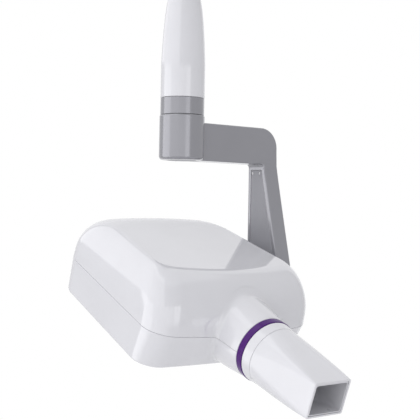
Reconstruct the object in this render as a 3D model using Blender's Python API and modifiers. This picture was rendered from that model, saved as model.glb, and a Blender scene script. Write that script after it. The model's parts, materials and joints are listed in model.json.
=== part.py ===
"""Intraoral x-ray unit: the white arm end, the grey swivel yoke, the tube head and its rectangular cone.

Metres, +Z up. The origin is the centre of the flat top face of the mounting flange, on the vertical
swivel axis. The yoke plate is on the +X side and the cone points towards -Y and down by HEAD_TILT.
Pieces of the head and of the cone are modelled level, about the tilt axis, under an empty that
tilts them. Head coordinates: x along the tilt axis, y backwards along the beam, z up.
"""

import math

import bmesh
import bpy
from mathutils import Vector

MM = 0.001
GAP = 0.3 * MM

# Heights on the swivel axis, from the top face of the flange
FLANGE_T = 6.0 * MM
FLANGE_R = 24.0 * MM
FLANGE_BOLT_CIRCLE_R = 19.0 * MM
FLANGE_BOLT_R = 2.3 * MM
FLANGE_CABLE_R = 4.0 * MM
SLEEVE_R = 27.0 * MM
SLEEVE_WALL = 2.2 * MM
SLEEVE_STRAIGHT = -99.0 * MM
SLEEVE_CROWN = 93.0 * MM
SLEEVE_TOP_R = 15.5 * MM
TUBE_R = 15.0 * MM
TUBE_BORE = 12.0 * MM
TUBE_END = -147.0 * MM
BRAKE_LEVEL = -150.5 * MM
BRAKE_R = 2.5 * MM
SWIVEL_BUSH_R = 11.7 * MM
THRUST_SEAT_R = 19.0 * MM
THRUST_SEAT_T = 1.8 * MM
COLLAR_R = 26.8 * MM
COLLAR_TOP = -140.1 * MM
COLLAR_BOTTOM = -160.4 * MM
KNUCKLE_R = 27.6 * MM
KNUCKLE_TOP = -160.7 * MM
BAR_TOP = -168.6 * MM
BAR_BOTTOM = -215.2 * MM
SPINDLE_R = 8.7 * MM
SPINDLE_BORE = 5.0 * MM
SPINDLE_TOP = -109.0 * MM
SPINDLE_END = -192.5 * MM
CABLE_R = 2.5 * MM
CABLE_HOLE_Y = 7.5 * MM

# Yoke
BAR_HALF = 15.5 * MM
BAR_START = 20.0 * MM
PLATE_IN = 118.1 * MM
PLATE_OUT = 140.6 * MM
PLATE_FLARE = 0.2412
YOKE_CORNER_R = 25.0 * MM
INNER_CORNER_R = 5.0 * MM
CHANNEL_DEPTH = 137.6 * MM
CABLE_LEVEL = -205.0 * MM
COVER_TOP = -222.0 * MM
COVER_END = -334.0 * MM
COVER_T = 2.5 * MM
COVER_MARGIN = 6.0 * MM
COVER_SCREWS = ((6.5, -226.5), (-7.5, -226.5), (6.5, -329.0), (-31.0, -329.0))
CAP_R = 18.0 * MM

# Tilt pivot
HEAD_TILT = math.radians(19.7)
PIVOT = Vector((0.0, -18.7 * MM, -372.7 * MM))
PIVOT_END_R = 34.2 * MM
PIVOT_BOSS_R = 31.0 * MM
PIVOT_BOSS_IN = 112.2 * MM
SHAFT_R = 10.0 * MM
SHAFT_BORE = 6.5 * MM
SHAFT_END = 135.8 * MM
BUSH_R = 13.0 * MM
STACK_FACE = 126.0 * MM
POCKET_R = 22.0 * MM
DIAL_IN = 110.6 * MM
DIAL_OUT = 111.8 * MM
JOINT_FACE = 113.0 * MM
PIVOT_CAP_R = 25.0 * MM
PIVOT_CAP_RISE = 11.0 * MM

# Head shells, in head coordinates
HEAD_HALF = 112.0 * MM
HEAD_TAPER = 10.2 * MM
HEAD_FRONT = 103.5 * MM
FRONT_BULGE = 14.5 * MM
HEAD_REAR = 130.4 * MM
REAR_BULGE = 10.2 * MM
FRONT_CORNER_R = 33.0 * MM
REAR_CORNER_R = 41.0 * MM
PART_LEVEL = -1.0 * MM
TOP_LEVEL = 59.9 * MM
BOTTOM_LEVEL = -45.0 * MM
CROWN = 50.0 * MM
FOOT_R = 3.5 * MM
WALL = 3.0 * MM
SIDE_BOSS_R = 33.0 * MM
SIDE_BOSS_END = 110.2 * MM
NECK_R = 36.0 * MM
NECK_END = 150.8 * MM
NECK_ROOT_HALF_W = 39.0 * MM
NECK_ROOT_HALF_H = 43.0 * MM
NECK_WAIST = 134.0 * MM
NECK_WAIST_HALF_W = 37.6 * MM
NECK_WAIST_HALF_H = 39.0 * MM
SCREW_SPOTS = ((-88.0, -84.0), (88.0, -84.0), (-75.0, 103.0), (75.0, 103.0))

# Beam limiter, distances forward of the tilt axis
RING_REAR = 151.1 * MM
RING_FRONT = 159.4 * MM
RING_BORE = 30.3 * MM
SOCKET_R = 30.0 * MM
SOCKET_BORE = 26.0 * MM
CLIP_FRONT = 139.7 * MM
CLIP_REAR = 137.3 * MM
COLLAR_GROOVE = 172.1 * MM
CONE_R = 33.9 * MM
CONE_END = 259.4 * MM
MOUTH_W = 49.0 * MM
MOUTH_H = 39.0 * MM
MOUTH_POWER = 0.077
CORNER_FADE = 1.1
CONE_SIDES = 36
CONE_STEPS = 8
CONE_WALL = 2.0 * MM
LINER_WALL = 1.0 * MM

# Oil tank and tube
TANK_HALF = 70.0 * MM
TANK_FRONT = -85.0 * MM
TANK_REAR = 75.0 * MM
TANK_BOTTOM = -37.0 * MM
TANK_TOP = 32.0 * MM
TANK_WALL = 4.0 * MM
PORT_R = 16.3 * MM
FOCUS_TO_END = 300.0 * MM
FOCUS_Y = FOCUS_TO_END - CONE_END
BULB_R = 21.0 * MM
BULB_HALF = 44.0 * MM
STEM_R = 9.0 * MM
GASKET_T = 1.5 * MM
TANK_COVER_T = 4.0 * MM
TANK_COVER_TOP = TANK_TOP + 2 * GAP + GASKET_T + TANK_COVER_T
FILLER_SPOT = (45.0 * MM, 58.0 * MM)
BOARD_HALF_X = 57.0 * MM


def clear_scene():
    for obj in list(bpy.data.objects):
        bpy.data.objects.remove(obj, do_unlink=True)


def new_collection(name):
    made = bpy.data.collections.new(name)
    bpy.context.scene.collection.children.link(made)
    return made


def material(name, colour, roughness, metallic=0.0, alpha=1.0):
    made = bpy.data.materials.new(name)
    made.use_nodes = True
    shader = made.node_tree.nodes["Principled BSDF"]
    shader.inputs["Base Color"].default_value = (*colour, 1.0)
    shader.inputs["Roughness"].default_value = roughness
    shader.inputs["Metallic"].default_value = metallic
    shader.inputs["Alpha"].default_value = alpha
    made.diffuse_color = (*colour, alpha)
    return made


def add_empty(name, place, turn=(0.0, 0.0, 0.0), parent=None):
    made = bpy.data.objects.new(name, None)
    PARTS.objects.link(made)
    made.location = place
    made.rotation_euler = turn
    made.parent = parent
    return made


def add(name, mesh, look=None, parent=None, place=(0.0, 0.0, 0.0), turn=(0.0, 0.0, 0.0)):
    """An object for a mesh or a curve: a part where it has a look, otherwise a cutter."""
    made = bpy.data.objects.new(name, mesh)
    made.parent = parent
    made.location = place
    made.rotation_euler = turn
    if look:
        PARTS.objects.link(made)
        mesh.materials.append(look)
    else:
        CUTTERS.objects.link(made)
        made.hide_render = True
        made.display_type = "WIRE"
    return made


def mesh_of(name, form):
    mesh = bpy.data.meshes.new(name)
    form.to_mesh(mesh)
    form.free()
    return mesh


def smooth(obj, angle=35.0):
    """Shades the faces smooth and keeps the edges sharper than the angle."""
    form = bmesh.new()
    form.from_mesh(obj.data)
    for face in form.faces:
        face.smooth = True
    for edge in form.edges:
        if len(edge.link_faces) == 2:
            edge.smooth = edge.calc_face_angle() < math.radians(angle)
    form.to_mesh(obj.data)
    form.free()
    return obj


def box(name, low, high, **kept):
    """A box from its low corner to its high corner."""
    form = bmesh.new()
    bmesh.ops.create_cube(form, size=1.0)
    low = Vector(low)
    high = Vector(high)
    bmesh.ops.scale(form, vec=high - low, verts=form.verts)
    bmesh.ops.translate(form, vec=(low + high) / 2, verts=form.verts)
    return add(name, mesh_of(name, form), **kept)


TURNS = {"x": (0.0, math.pi / 2, 0.0), "y": (math.pi / 2, 0.0, 0.0), "z": (0.0, 0.0, 0.0)}


def rod(name, radius, start, length, along, sides=20, **kept):
    """A cylinder from a start point: towards +X, towards -Y (forward) or towards +Z."""
    form = bmesh.new()
    shape = {"radius1": radius, "radius2": radius, "depth": length}
    bmesh.ops.create_cone(form, cap_ends=True, segments=sides, **shape)
    bmesh.ops.translate(form, vec=(0.0, 0.0, length / 2), verts=form.verts)
    made = add(name, mesh_of(name, form), place=start, turn=TURNS[along], **kept)
    return smooth(made)


def turned(name, profile, along="z", place=(0.0, 0.0, 0.0), sides=28, closed=True, **kept):
    """A profile of (radius, height) points, outer side from top to bottom, turned about its axis."""
    mesh = bpy.data.meshes.new(name)
    edges = [(i, i + 1) for i in range(len(profile) - 1)]
    if closed:
        edges.append((len(profile) - 1, 0))
    mesh.from_pydata([(r, 0.0, z) for r, z in profile], edges, [])
    made = add(name, mesh, place=place, turn=TURNS[along], **kept)
    screw = made.modifiers.new("turn", "SCREW")
    screw.steps = sides
    screw.render_steps = sides
    screw.use_merge_vertices = True
    screw.merge_threshold = 0.00001
    screw.use_smooth_shade = True
    return made


def ring(name, outer, inner, top, bottom, **kept):
    """A turned ring with square edges."""
    return turned(name, ((outer, top), (outer, bottom), (inner, bottom), (inner, top)), **kept)


def disc(name, radius, top, bottom, **kept):
    """A turned disc, closed on its axis."""
    profile = ((0.0, top), (radius, top), (radius, bottom), (0.0, bottom))
    return turned(name, profile, closed=False, **kept)


def hex_nut(name, corner_r, bore, start, thick, along, parent):
    """A hexagon with a round hole through it."""
    made = rod(name, corner_r, start, thick, along, sides=6, look=STEEL, parent=parent)
    step = Vector((thick, 0.0, 0.0)) if along == "x" else Vector((0.0, 0.0, thick))
    hole = rod(name + "_hole", bore, Vector(start) - step, 3 * thick, along, parent=parent)
    return boolean(made, hole)


def loft(name, rings, **kept):
    """Skins loops of equally many points, from the first to the last, and closes both ends."""
    form = bmesh.new()
    loops = [[form.verts.new(point) for point in loop] for loop in rings]
    count = len(loops[0])
    for lower, upper in zip(loops, loops[1:]):
        for i in range(count):
            j = (i + 1) % count
            form.faces.new((lower[i], lower[j], upper[j], upper[i]))
    form.faces.new(list(reversed(loops[0])))
    form.faces.new(loops[-1])
    bmesh.ops.recalc_face_normals(form, faces=form.faces)
    made = add(name, mesh_of(name, form), **kept)
    return smooth(made)


def plate(name, outline, depth, along, middle, **kept):
    """A flat outline, extruded to a depth about its middle: (y, z) points along X, (x, z) along Y."""
    curve = bpy.data.curves.new(name, "CURVE")
    curve.dimensions = "2D"
    curve.fill_mode = "BOTH"
    curve.extrude = depth / 2
    line = curve.splines.new("POLY")
    line.points.add(len(outline) - 1)
    for point, (u, v) in zip(line.points, outline):
        point.co = (u, v, 0.0, 1.0)
    line.use_cyclic_u = True
    turn = {"x": (math.pi / 2, 0.0, math.pi / 2), "y": (math.pi / 2, 0.0, 0.0)}[along]
    place = {"x": (middle, 0.0, 0.0), "y": (0.0, middle, 0.0)}[along]
    drawn = add(name + "_outline", curve)
    mesh = mesh_from_curve(drawn, name)
    return smooth(add(name, mesh, place=place, turn=turn, **kept))


def mesh_from_curve(drawn, name):
    """The curve's evaluated mesh with its caps welded on; the curve is removed."""
    bpy.context.view_layer.update()
    graph = bpy.context.evaluated_depsgraph_get()
    mesh = bpy.data.meshes.new_from_object(drawn.evaluated_get(graph))
    mesh.name = name
    mesh.materials.clear()
    form = bmesh.new()
    form.from_mesh(mesh)
    bmesh.ops.remove_doubles(form, verts=form.verts, dist=0.000001)
    bmesh.ops.recalc_face_normals(form, faces=form.faces)
    form.to_mesh(mesh)
    form.free()
    bpy.data.objects.remove(drawn, do_unlink=True)
    return mesh


def boolean(obj, other, operation="DIFFERENCE"):
    step = obj.modifiers.new(operation.lower(), "BOOLEAN")
    step.operation = operation
    step.object = other
    return obj


def arc(centre, radius, start, end, count=8):
    """Points on a circle between two angles in degrees."""
    angles = [math.radians(start + (end - start) * i / count) for i in range(count + 1)]
    return [(centre[0] + radius * math.cos(a), centre[1] + radius * math.sin(a)) for a in angles]


def smooth_route(points, step):
    """Points a step apart on a smooth curve through the given ones."""
    points = [Vector(p) for p in points]
    ends = [2 * points[0] - points[1]] + points + [2 * points[-1] - points[-2]]
    route = [points[0]]
    for a, b, c, d in zip(ends, ends[1:], ends[2:], ends[3:]):
        count = max(1, round((c - b).length / step))
        for i in range(1, count + 1):
            t = i / count
            quadratic = (2 * a - 5 * b + 4 * c - d) * t**2
            cubic = (3 * b - a - 3 * c + d) * t**3
            route.append(0.5 * (2 * b + (c - a) * t + quadratic + cubic))
    return route


def cable(name, points, parent):
    """A round cable along a smooth route, with flat ends."""
    curve = bpy.data.curves.new(name, "CURVE")
    curve.dimensions = "3D"
    curve.bevel_depth = CABLE_R
    curve.bevel_resolution = 2
    curve.use_fill_caps = True
    route = smooth_route(points, 4 * CABLE_R)
    line = curve.splines.new("POLY")
    line.points.add(len(route) - 1)
    for point, place in zip(line.points, route):
        point.co = (*place, 1.0)
    return add(name, curve, look=CABLE_GREY, parent=parent)


# ---------------------------------------------------------------- arm end, fixed


def mounting_flange():
    """Turned steel flange with an off-centre cable hole and three bolt holes."""
    made = disc("mounting_flange", FLANGE_R, 0.0, -FLANGE_T, sides=48, look=STEEL)
    below = -0.02
    through = 0.03
    cable_hole = rod("flange_cable_hole", FLANGE_CABLE_R, (0.0, CABLE_HOLE_Y, below), through, "z")
    boolean(made, cable_hole)
    circle = FLANGE_BOLT_CIRCLE_R
    for i in range(3):
        turn = math.radians(30 + 120 * i)
        spot = (circle * math.cos(turn), circle * math.sin(turn), below)
        hole = rod(f"flange_bolt_hole_{i + 1}", FLANGE_BOLT_R, spot, through, "z", sides=16)
        boolean(made, hole)


def arm_tube():
    """Steel tube between the flange and the collar."""
    ring("arm_tube", TUBE_R, TUBE_BORE, -FLANGE_T - GAP, TUBE_END, look=STEEL)


def sleeve_radius(height):
    """Straight below, and drawn in towards the top on a long crown that ends in a round shoulder."""
    rise = max(0.0, (height - SLEEVE_STRAIGHT) / SLEEVE_CROWN)
    return SLEEVE_R * (1.0 - rise**1.1) ** 0.16


def arm_sleeve():
    """Moulded white sleeve, an even wall under the crowned outside."""
    top = SLEEVE_STRAIGHT + 0.975 * SLEEVE_CROWN
    count = 9
    heights = [top + (SLEEVE_STRAIGHT - top) * (i / count) ** 1.6 for i in range(count + 1)]
    outer = [(max(sleeve_radius(h), SLEEVE_TOP_R + 0.6 * MM), h) for h in heights]
    outer.append((SLEEVE_R, COLLAR_TOP + GAP))
    inner = [(SLEEVE_R - SLEEVE_WALL, COLLAR_TOP + GAP)]
    for h in reversed(heights):
        radius = max(sleeve_radius(h) - SLEEVE_WALL, SLEEVE_TOP_R)
        under = SLEEVE_WALL * (h - SLEEVE_STRAIGHT) / (top - SLEEVE_STRAIGHT)
        inner.append((radius, h - under))
    inner.append((SLEEVE_TOP_R, top))
    turned("arm_sleeve", outer + inner, sides=36, look=WHITE)


def arm_collar():
    """Turned collar that carries the tube above and the lower bush below."""
    edge = 0.8 * MM
    seat = COLLAR_BOTTOM + THRUST_SEAT_T
    step = TUBE_END - 0.5 * MM
    profile = (
        (COLLAR_R - edge, COLLAR_TOP),
        (COLLAR_R, COLLAR_TOP - edge),
        (COLLAR_R, COLLAR_BOTTOM + edge),
        (COLLAR_R - edge, COLLAR_BOTTOM),
        (THRUST_SEAT_R, COLLAR_BOTTOM),
        (THRUST_SEAT_R, seat),
        (SWIVEL_BUSH_R + GAP, seat),
        (SWIVEL_BUSH_R + GAP, step),
        (TUBE_R + GAP, step),
        (TUBE_R + GAP, COLLAR_TOP),
    )
    made = turned("arm_collar", profile, sides=36, look=YOKE_GREY)
    hole = rod("brake_screw_hole", BRAKE_R + 0.4 * MM, (0.0, 0.03, BRAKE_LEVEL), 0.02, "y", sides=16)
    boolean(made, hole)


def brake_screw():
    """Set screw with a nylon tip that bears on the spindle."""
    rod("brake_screw", BRAKE_R, (0.0, 25.0 * MM, BRAKE_LEVEL), 15.9 * MM, "y", sides=16, look=STEEL)


def swivel_bushes():
    """Two plain bushes the spindle turns in: one in the tube, one in the collar."""
    for name, top, bottom in (("upper", -120.0, -130.0), ("lower", -154.0, -160.2)):
        spot = (SWIVEL_BUSH_R, SPINDLE_R + GAP, top * MM, bottom * MM)
        ring(f"{name}_swivel_bush", *spot, sides=24, look=BRONZE)


def thrust_washer():
    """Washer between the collar's seat and the knuckle's top face."""
    top = COLLAR_BOTTOM + THRUST_SEAT_T - GAP
    radii = (THRUST_SEAT_R - GAP, SWIVEL_BUSH_R + 2 * GAP)
    ring("thrust_washer", *radii, top, top - 1.6 * MM, sides=24, look=NYLON)


def arm_cable():
    """From the hole in the flange onto the swivel axis and down through the spindle."""
    route = (
        (0.0, CABLE_HOLE_Y, -1.0 * MM),
        (0.0, CABLE_HOLE_Y, -20.0 * MM),
        (0.0, 5.0 * MM, -50.0 * MM),
        (0.0, 1.0 * MM, -85.0 * MM),
        (0.0, 0.0, -105.0 * MM),
        (0.0, 0.0, -130.0 * MM),
        (0.0, 0.0, COLLAR_BOTTOM),
    )
    cable("arm_cable", route, None)


# ---------------------------------------------------------------- yoke, turns on the swivel


def yoke_side_outline():
    """(y, z) outline: a straight bar that flares forward down to the round pivot end."""
    centre = (PIVOT.y, PIVOT.z)
    lean = math.degrees(math.atan(PLATE_FLARE))
    end = arc(centre, PIVOT_END_R, 180 - lean, 360, 20)
    return [(BAR_HALF, -0.155), (-BAR_HALF, -0.155), (-BAR_HALF, BAR_BOTTOM)] + end


def yoke_front_outline():
    """(x, z) outline of the inverted L, seen along the cone."""
    corner = (PLATE_OUT - YOKE_CORNER_R, BAR_TOP - YOKE_CORNER_R)
    inside = (PLATE_IN - INNER_CORNER_R, BAR_BOTTOM - INNER_CORNER_R)
    outline = [(BAR_START, BAR_BOTTOM), (BAR_START, BAR_TOP)]
    outline += arc(corner, YOKE_CORNER_R, 90, 0, 10)
    outline += [(PLATE_OUT, -0.42), (PLATE_IN, -0.42)]
    outline += arc(inside, INNER_CORNER_R, 0, 90, 5)
    return outline


def knuckle(name):
    """Turned hollow knuckle: round shoulder, round lower edge, cap seat, cable cavity and spindle bore."""
    shoulder = arc((KNUCKLE_R - 1.2 * MM, KNUCKLE_TOP - 1.2 * MM), 1.2 * MM, 90, 0, 3)
    foot = arc((KNUCKLE_R - 4.5 * MM, BAR_BOTTOM + 4.5 * MM), 4.5 * MM, 0, -90, 5)
    hollow = [
        (CAP_R + GAP, BAR_BOTTOM),
        (CAP_R + GAP, BAR_BOTTOM + 3.5 * MM),
        (14.0 * MM, BAR_BOTTOM + 3.5 * MM),
        (14.0 * MM, -198.0 * MM),
        (SPINDLE_R + GAP, -198.0 * MM),
        (SPINDLE_R + GAP, KNUCKLE_TOP),
    ]
    return turned(name, shoulder + foot + hollow, sides=36)


def yoke_casting():
    """Cast L: the side outline cut to the front outline, joined to the knuckle and the pivot boss."""
    made = plate("yoke_casting", yoke_side_outline(), 0.15, "x", 0.075, look=YOKE_GREY, parent=SWIVEL)
    boolean(made, plate("yoke_front", yoke_front_outline(), 0.12, "y", -0.01), "INTERSECT")
    boolean(made, knuckle("knuckle_form"), "UNION")
    boss = rod("pivot_boss", PIVOT_BOSS_R, (PIVOT_BOSS_IN, PIVOT.y, PIVOT.z), 8.0 * MM, "x", sides=32)
    boolean(made, boss, "UNION")
    yoke_channels(made)


def yoke_channels(made):
    """Cable passage along the bar, open channel down the plate, pivot bore and pocket."""
    boolean(made, rod("bar_passage", 6.0 * MM, (10.0 * MM, 0.0, CABLE_LEVEL), 0.12, "x"))
    channel = [(-9.0, -196.0), (9.0, -196.0), (9.0, -335.0), (-22.0, -335.0), (-13.0, -260.0)]
    channel = [(y * MM, z * MM) for y, z in channel]
    depth = CHANNEL_DEPTH - PLATE_IN
    boolean(made, plate("plate_channel", channel, depth + 0.2 * MM, "x", PLATE_IN + depth / 2))
    boolean(made, plate("cover_seat", cover_outline(GAP), 2 * (COVER_T + GAP), "x", PLATE_IN))
    low = (129.0 * MM, PIVOT.y - 8.0 * MM, -0.365)
    high = (CHANNEL_DEPTH + 0.8 * MM, PIVOT.y + 8.0 * MM, -0.33)
    boolean(made, box("cable_slot", low, high))
    boolean(made, rod("pivot_bore", BUSH_R + GAP, (0.1, PIVOT.y, PIVOT.z), 0.05, "x", sides=36))
    pocket = (STACK_FACE, PIVOT.y, PIVOT.z)
    boolean(made, rod("pivot_pocket", POCKET_R, pocket, 0.05, "x", sides=32))


def cover_outline(grow=0.0):
    """(y, z) outline of the cable cover on the inner face, a constant margin inside the plate."""
    margin = COVER_MARGIN - grow
    top = COVER_TOP + grow
    end = COVER_END - grow
    front_top = -BAR_HALF + margin - PLATE_FLARE * (BAR_BOTTOM - COVER_TOP)
    front_end = -BAR_HALF + margin - PLATE_FLARE * (BAR_BOTTOM - COVER_END)
    rear = BAR_HALF - margin
    return [(rear, top), (front_top, top), (front_end, end), (rear, end)]


def yoke_cover():
    """Flat moulded cover let into the inner face over the cable channel, with four screw holes."""
    kept = {"look": COVER_GREY, "parent": SWIVEL}
    cover = plate("yoke_cover", cover_outline(), COVER_T, "x", PLATE_IN + COVER_T / 2, **kept)
    for i, (y, z) in enumerate(COVER_SCREWS):
        place = (PLATE_IN - 2.0 * MM, y * MM, z * MM)
        boolean(cover, rod(f"cover_screw_hole_{i + 1}", 1.9 * MM, place, 10.0 * MM, "x", sides=16))


def cover_screws():
    """Slotted screws, flush in the corners of the cover."""
    kept = {"look": STEEL, "parent": SWIVEL}
    for i, (y, z) in enumerate(COVER_SCREWS):
        name = f"yoke_cover_screw_{i + 1}"
        place = (PLATE_IN + 0.2 * MM, y * MM, z * MM)
        made = rod(name, 1.6 * MM, place, COVER_T - 0.5 * MM, "x", sides=16, **kept)
        low = (PLATE_IN, (y - 1.2) * MM, (z - 0.25) * MM)
        high = (PLATE_IN + 0.8 * MM, (y + 1.2) * MM, (z + 0.25) * MM)
        boolean(made, box(name + "_slot", low, high))


def swivel_spindle():
    """Hollow steel spindle, held in the knuckle, with its nut above the upper bush."""
    kept = {"sides": 24, "look": STEEL, "parent": SWIVEL}
    ring("swivel_spindle", SPINDLE_R, SPINDLE_BORE, SPINDLE_TOP, SPINDLE_END, **kept)
    place = (0.0, 0.0, -119.7 * MM)
    hex_nut("spindle_nut", 11.2 * MM, SPINDLE_R + GAP, place, 7.0 * MM, "z", SWIVEL)


def knuckle_cap():
    """Round plug that closes the underside of the knuckle."""
    bottom = BAR_BOTTOM + 0.2 * MM
    disc("knuckle_cap", CAP_R, bottom + 3.0 * MM, bottom, look=COVER_GREY, parent=SWIVEL)


def tilt_bushes():
    """Two plain bushes in the bore of the pivot boss."""
    kept = {"along": "x", "place": (0.0, PIVOT.y, PIVOT.z), "look": BRONZE, "parent": SWIVEL}
    for name, out, inside in (("inner", 122.0, 114.0), ("outer", 125.7, 122.3)):
        ring(f"{name}_tilt_bush", BUSH_R, SHAFT_R + GAP, out * MM, inside * MM, **kept)


def pivot_cap():
    """Domed cover over the pivot nut and the cable loop, on the outer face of the plate."""
    place = (0.0, PIVOT.y, PIVOT.z)
    seat = PLATE_OUT + GAP
    crown = seat + PIVOT_CAP_RISE
    rim = PIVOT_CAP_R
    wall = 1.8 * MM
    edge = 8.0 * MM
    centre = (rim - edge, crown - edge)
    outer = [(0.0, crown), (rim - edge, crown)] + arc(centre, edge, 75, 0, 4)
    outer += [(rim, seat), (rim - wall, seat)]
    inner = arc(centre, edge - wall, 0, 90, 4) + [(0.0, crown - wall)]
    kept = {"closed": False, "look": COVER_GREY, "parent": SWIVEL}
    turned("pivot_cap", outer + inner, "x", place, **kept)


def yoke_cable():
    """From the swivel axis along the bar, down the plate, out over the nut and into the pivot shaft."""
    route = (
        (0.0, 0.0, COLLAR_BOTTOM - GAP),
        (0.0, 0.0, -185.0 * MM),
        (2.5 * MM, 0.0, -197.5 * MM),
        (11.0 * MM, 0.0, CABLE_LEVEL),
        (60.0 * MM, 0.0, CABLE_LEVEL),
        (108.0 * MM, 0.0, CABLE_LEVEL),
        (122.0 * MM, 0.0, -209.0 * MM),
        (128.5 * MM, 0.0, -222.0 * MM),
        (131.0 * MM, -3.0 * MM, -255.0 * MM),
        (132.0 * MM, -13.0 * MM, -310.0 * MM),
        (132.5 * MM, PIVOT.y, -338.0 * MM),
        (133.5 * MM, PIVOT.y, -348.0 * MM),
        (138.5 * MM, PIVOT.y, -355.5 * MM),
        (144.5 * MM, PIVOT.y, -360.5 * MM),
        (147.0 * MM, PIVOT.y, -366.5 * MM),
        (144.0 * MM, PIVOT.y, -371.5 * MM),
        (137.0 * MM, PIVOT.y, PIVOT.z),
        (127.0 * MM, PIVOT.y, PIVOT.z),
        (JOINT_FACE + GAP, PIVOT.y, PIVOT.z),
    )
    cable("yoke_cable", [Vector(p) - SWIVEL.location for p in route], SWIVEL)


# ---------------------------------------------------------------- head shells, in head coordinates


def plan_loop(half, taper, front, rear, front_bulge, rear_bulge, front_r, rear_r):
    """A rounded plan: straight tapering sides, round corners, bulged front and rear."""

    def edge_y(x, width, reach, bulge):
        return reach + bulge * (1.0 - (x / width) ** 2)

    points = []
    corners = (
        (1, -1, half, front, front_bulge, front_r),
        (1, 1, half - taper, rear, rear_bulge, rear_r),
        (-1, 1, half - taper, rear, rear_bulge, rear_r),
        (-1, -1, half, front, front_bulge, front_r),
    )
    for side, back, width, reach, bulge, radius in corners:
        slope = 2.0 * bulge * (width - radius) / width**2
        turn = math.degrees(math.atan(slope))
        centre = (width - radius, edge_y(width - radius, width, reach, bulge) - radius)
        corner = [(side * u, back * v) for u, v in arc(centre, radius, 90 - turn, 0, 6)]
        inward = [(width - radius) * k / 3 for k in (0, 1, 2)]
        run = [(side * x, back * edge_y(x, width, reach, bulge)) for x in inward]
        whole = run + corner
        points += whole if side * back < 0 else list(reversed(whole))[:-1]
    return points


def head_loop(level, inset):
    """The shell's plan at a level, drawn in by the wall thickness where an inset is given."""
    if level >= PART_LEVEL:
        rise = (level - PART_LEVEL) / (TOP_LEVEL - PART_LEVEL)
        above = max(0.0, level - (TOP_LEVEL - CROWN)) / CROWN
        drawn = 1.0 - math.sqrt(max(0.0, 1.0 - above**2))
        side = 3.3 * MM * rise + 21.0 * MM * drawn
        front = 4.1 * MM * rise + 41.0 * MM * drawn
        rear = 2.6 * MM * rise + 64.0 * MM * drawn
        bulge = FRONT_BULGE
        radius = 12.0 * MM * drawn
    else:
        fall = (PART_LEVEL - level) / (PART_LEVEL - BOTTOM_LEVEL)
        edge = max(0.0, BOTTOM_LEVEL + FOOT_R - level)
        rounded = FOOT_R - math.sqrt(max(0.0, FOOT_R**2 - edge**2))
        side = 1.0 * MM * fall + rounded
        front = 7.8 * MM * fall + rounded
        rear = 4.2 * MM * fall + rounded
        bulge = FRONT_BULGE - 11.0 * MM * fall
        radius = 6.0 * MM * fall
    return plan_loop(
        HEAD_HALF - side - inset,
        HEAD_TAPER,
        HEAD_FRONT - front - inset,
        HEAD_REAR - rear - inset,
        bulge,
        REAR_BULGE,
        FRONT_CORNER_R - radius - inset,
        REAR_CORNER_R - radius - inset,
    )


def head_form(name, inset):
    """The closed form of both shells, or of their inside."""
    low = BOTTOM_LEVEL + inset
    high = TOP_LEVEL - inset
    spring = TOP_LEVEL - CROWN
    levels = [low, low + 1.0 * MM, low + FOOT_R, -20.0 * MM, PART_LEVEL, spring]
    levels += [spring + CROWN * math.sin(math.radians(a)) for a in (18, 36, 52, 66, 78)]
    levels = [level for level in levels if level < high - 0.5 * MM] + [high]
    rings = []
    for level in levels:
        outside = level + inset if level > 0 else level - inset
        rings.append([(x, y, level) for x, y in head_loop(outside, inset)])
    return loft(name, rings, parent=TILT)


def neck_loop(distance, wide, tall, count=40):
    """An oval of half width and half height, at a distance forward of the pivot."""
    points = []
    for i in range(count):
        a = 2 * math.pi * i / count
        points.append((wide * math.cos(a), -distance, tall * math.sin(a)))
    return points


def neck_form(name, inset, start):
    """The tapering neck in front of the body, an oval that becomes round at the ring."""
    beyond = 0.01 if inset else 0.0
    rings = [
        neck_loop(start, NECK_ROOT_HALF_W - inset, NECK_ROOT_HALF_H - inset),
        neck_loop(NECK_WAIST, NECK_WAIST_HALF_W - inset, NECK_WAIST_HALF_H - inset),
        neck_loop(NECK_END + beyond, NECK_R - inset, NECK_R - inset),
    ]
    return loft(name, rings, parent=TILT)


def head_inside():
    """The hollow of the shells, less the four screw pillars."""
    inside = head_form("head_inside", WALL)
    boolean(inside, neck_form("neck_inside", WALL, 0.09), "UNION")
    for pillar in at_screws("pillar", 6.0 * MM, -0.06, 0.13):
        boolean(inside, pillar)
    return inside


def shell(name, low, high, cutters):
    """One half of the moulded housing, with its half of the neck and of the side boss."""
    made = head_form(name + "_form", 0.0)
    whole = add(name, made.data, look=WHITE, parent=TILT)
    bpy.data.objects.remove(made, do_unlink=True)
    boolean(whole, neck_form(name + "_neck", 0.0, 0.1), "UNION")
    root = (0.09, 0.0, 0.0)
    length = SIDE_BOSS_END - root[0]
    boss = rod(name + "_boss", SIDE_BOSS_R, root, length, "x", sides=32, parent=TILT)
    boolean(whole, boss, "UNION")
    for cutter in cutters:
        boolean(whole, cutter)
    half = box(name + "_half", (-0.2, -0.3, low), (0.2, 0.3, high), parent=TILT)
    boolean(whole, half, "INTERSECT")


def head_shells():
    """Upper and lower halves, which meet at the parting level and leave the hub's hole open."""
    hole = rod("pivot_hole", 20.3 * MM, (0.08, 0.0, 0.0), 0.04, "x", sides=32, parent=TILT)
    cutters = [head_inside(), hole]
    blind = at_screws("blind_hole", 1.5 * MM, -0.01, 0.03)
    clear = at_screws("clear_hole", 2.0 * MM, -0.06, 0.07)
    recess = at_screws("head_recess", 4.6 * MM, -0.06, 0.025)
    shell("upper_shell", PART_LEVEL + GAP / 2, 0.1, cutters + blind)
    shell("lower_shell", -0.1, PART_LEVEL - GAP / 2, cutters + clear + recess)


def at_screws(name, radius, start, length):
    """An upright rod on each of the four shell screws' axes."""
    rods = []
    for i, (x, y) in enumerate(SCREW_SPOTS):
        spot = (x * MM, y * MM, start)
        rods.append(rod(f"{name}_{i + 1}", radius, spot, length, "z", sides=16, parent=TILT))
    return rods


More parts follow.
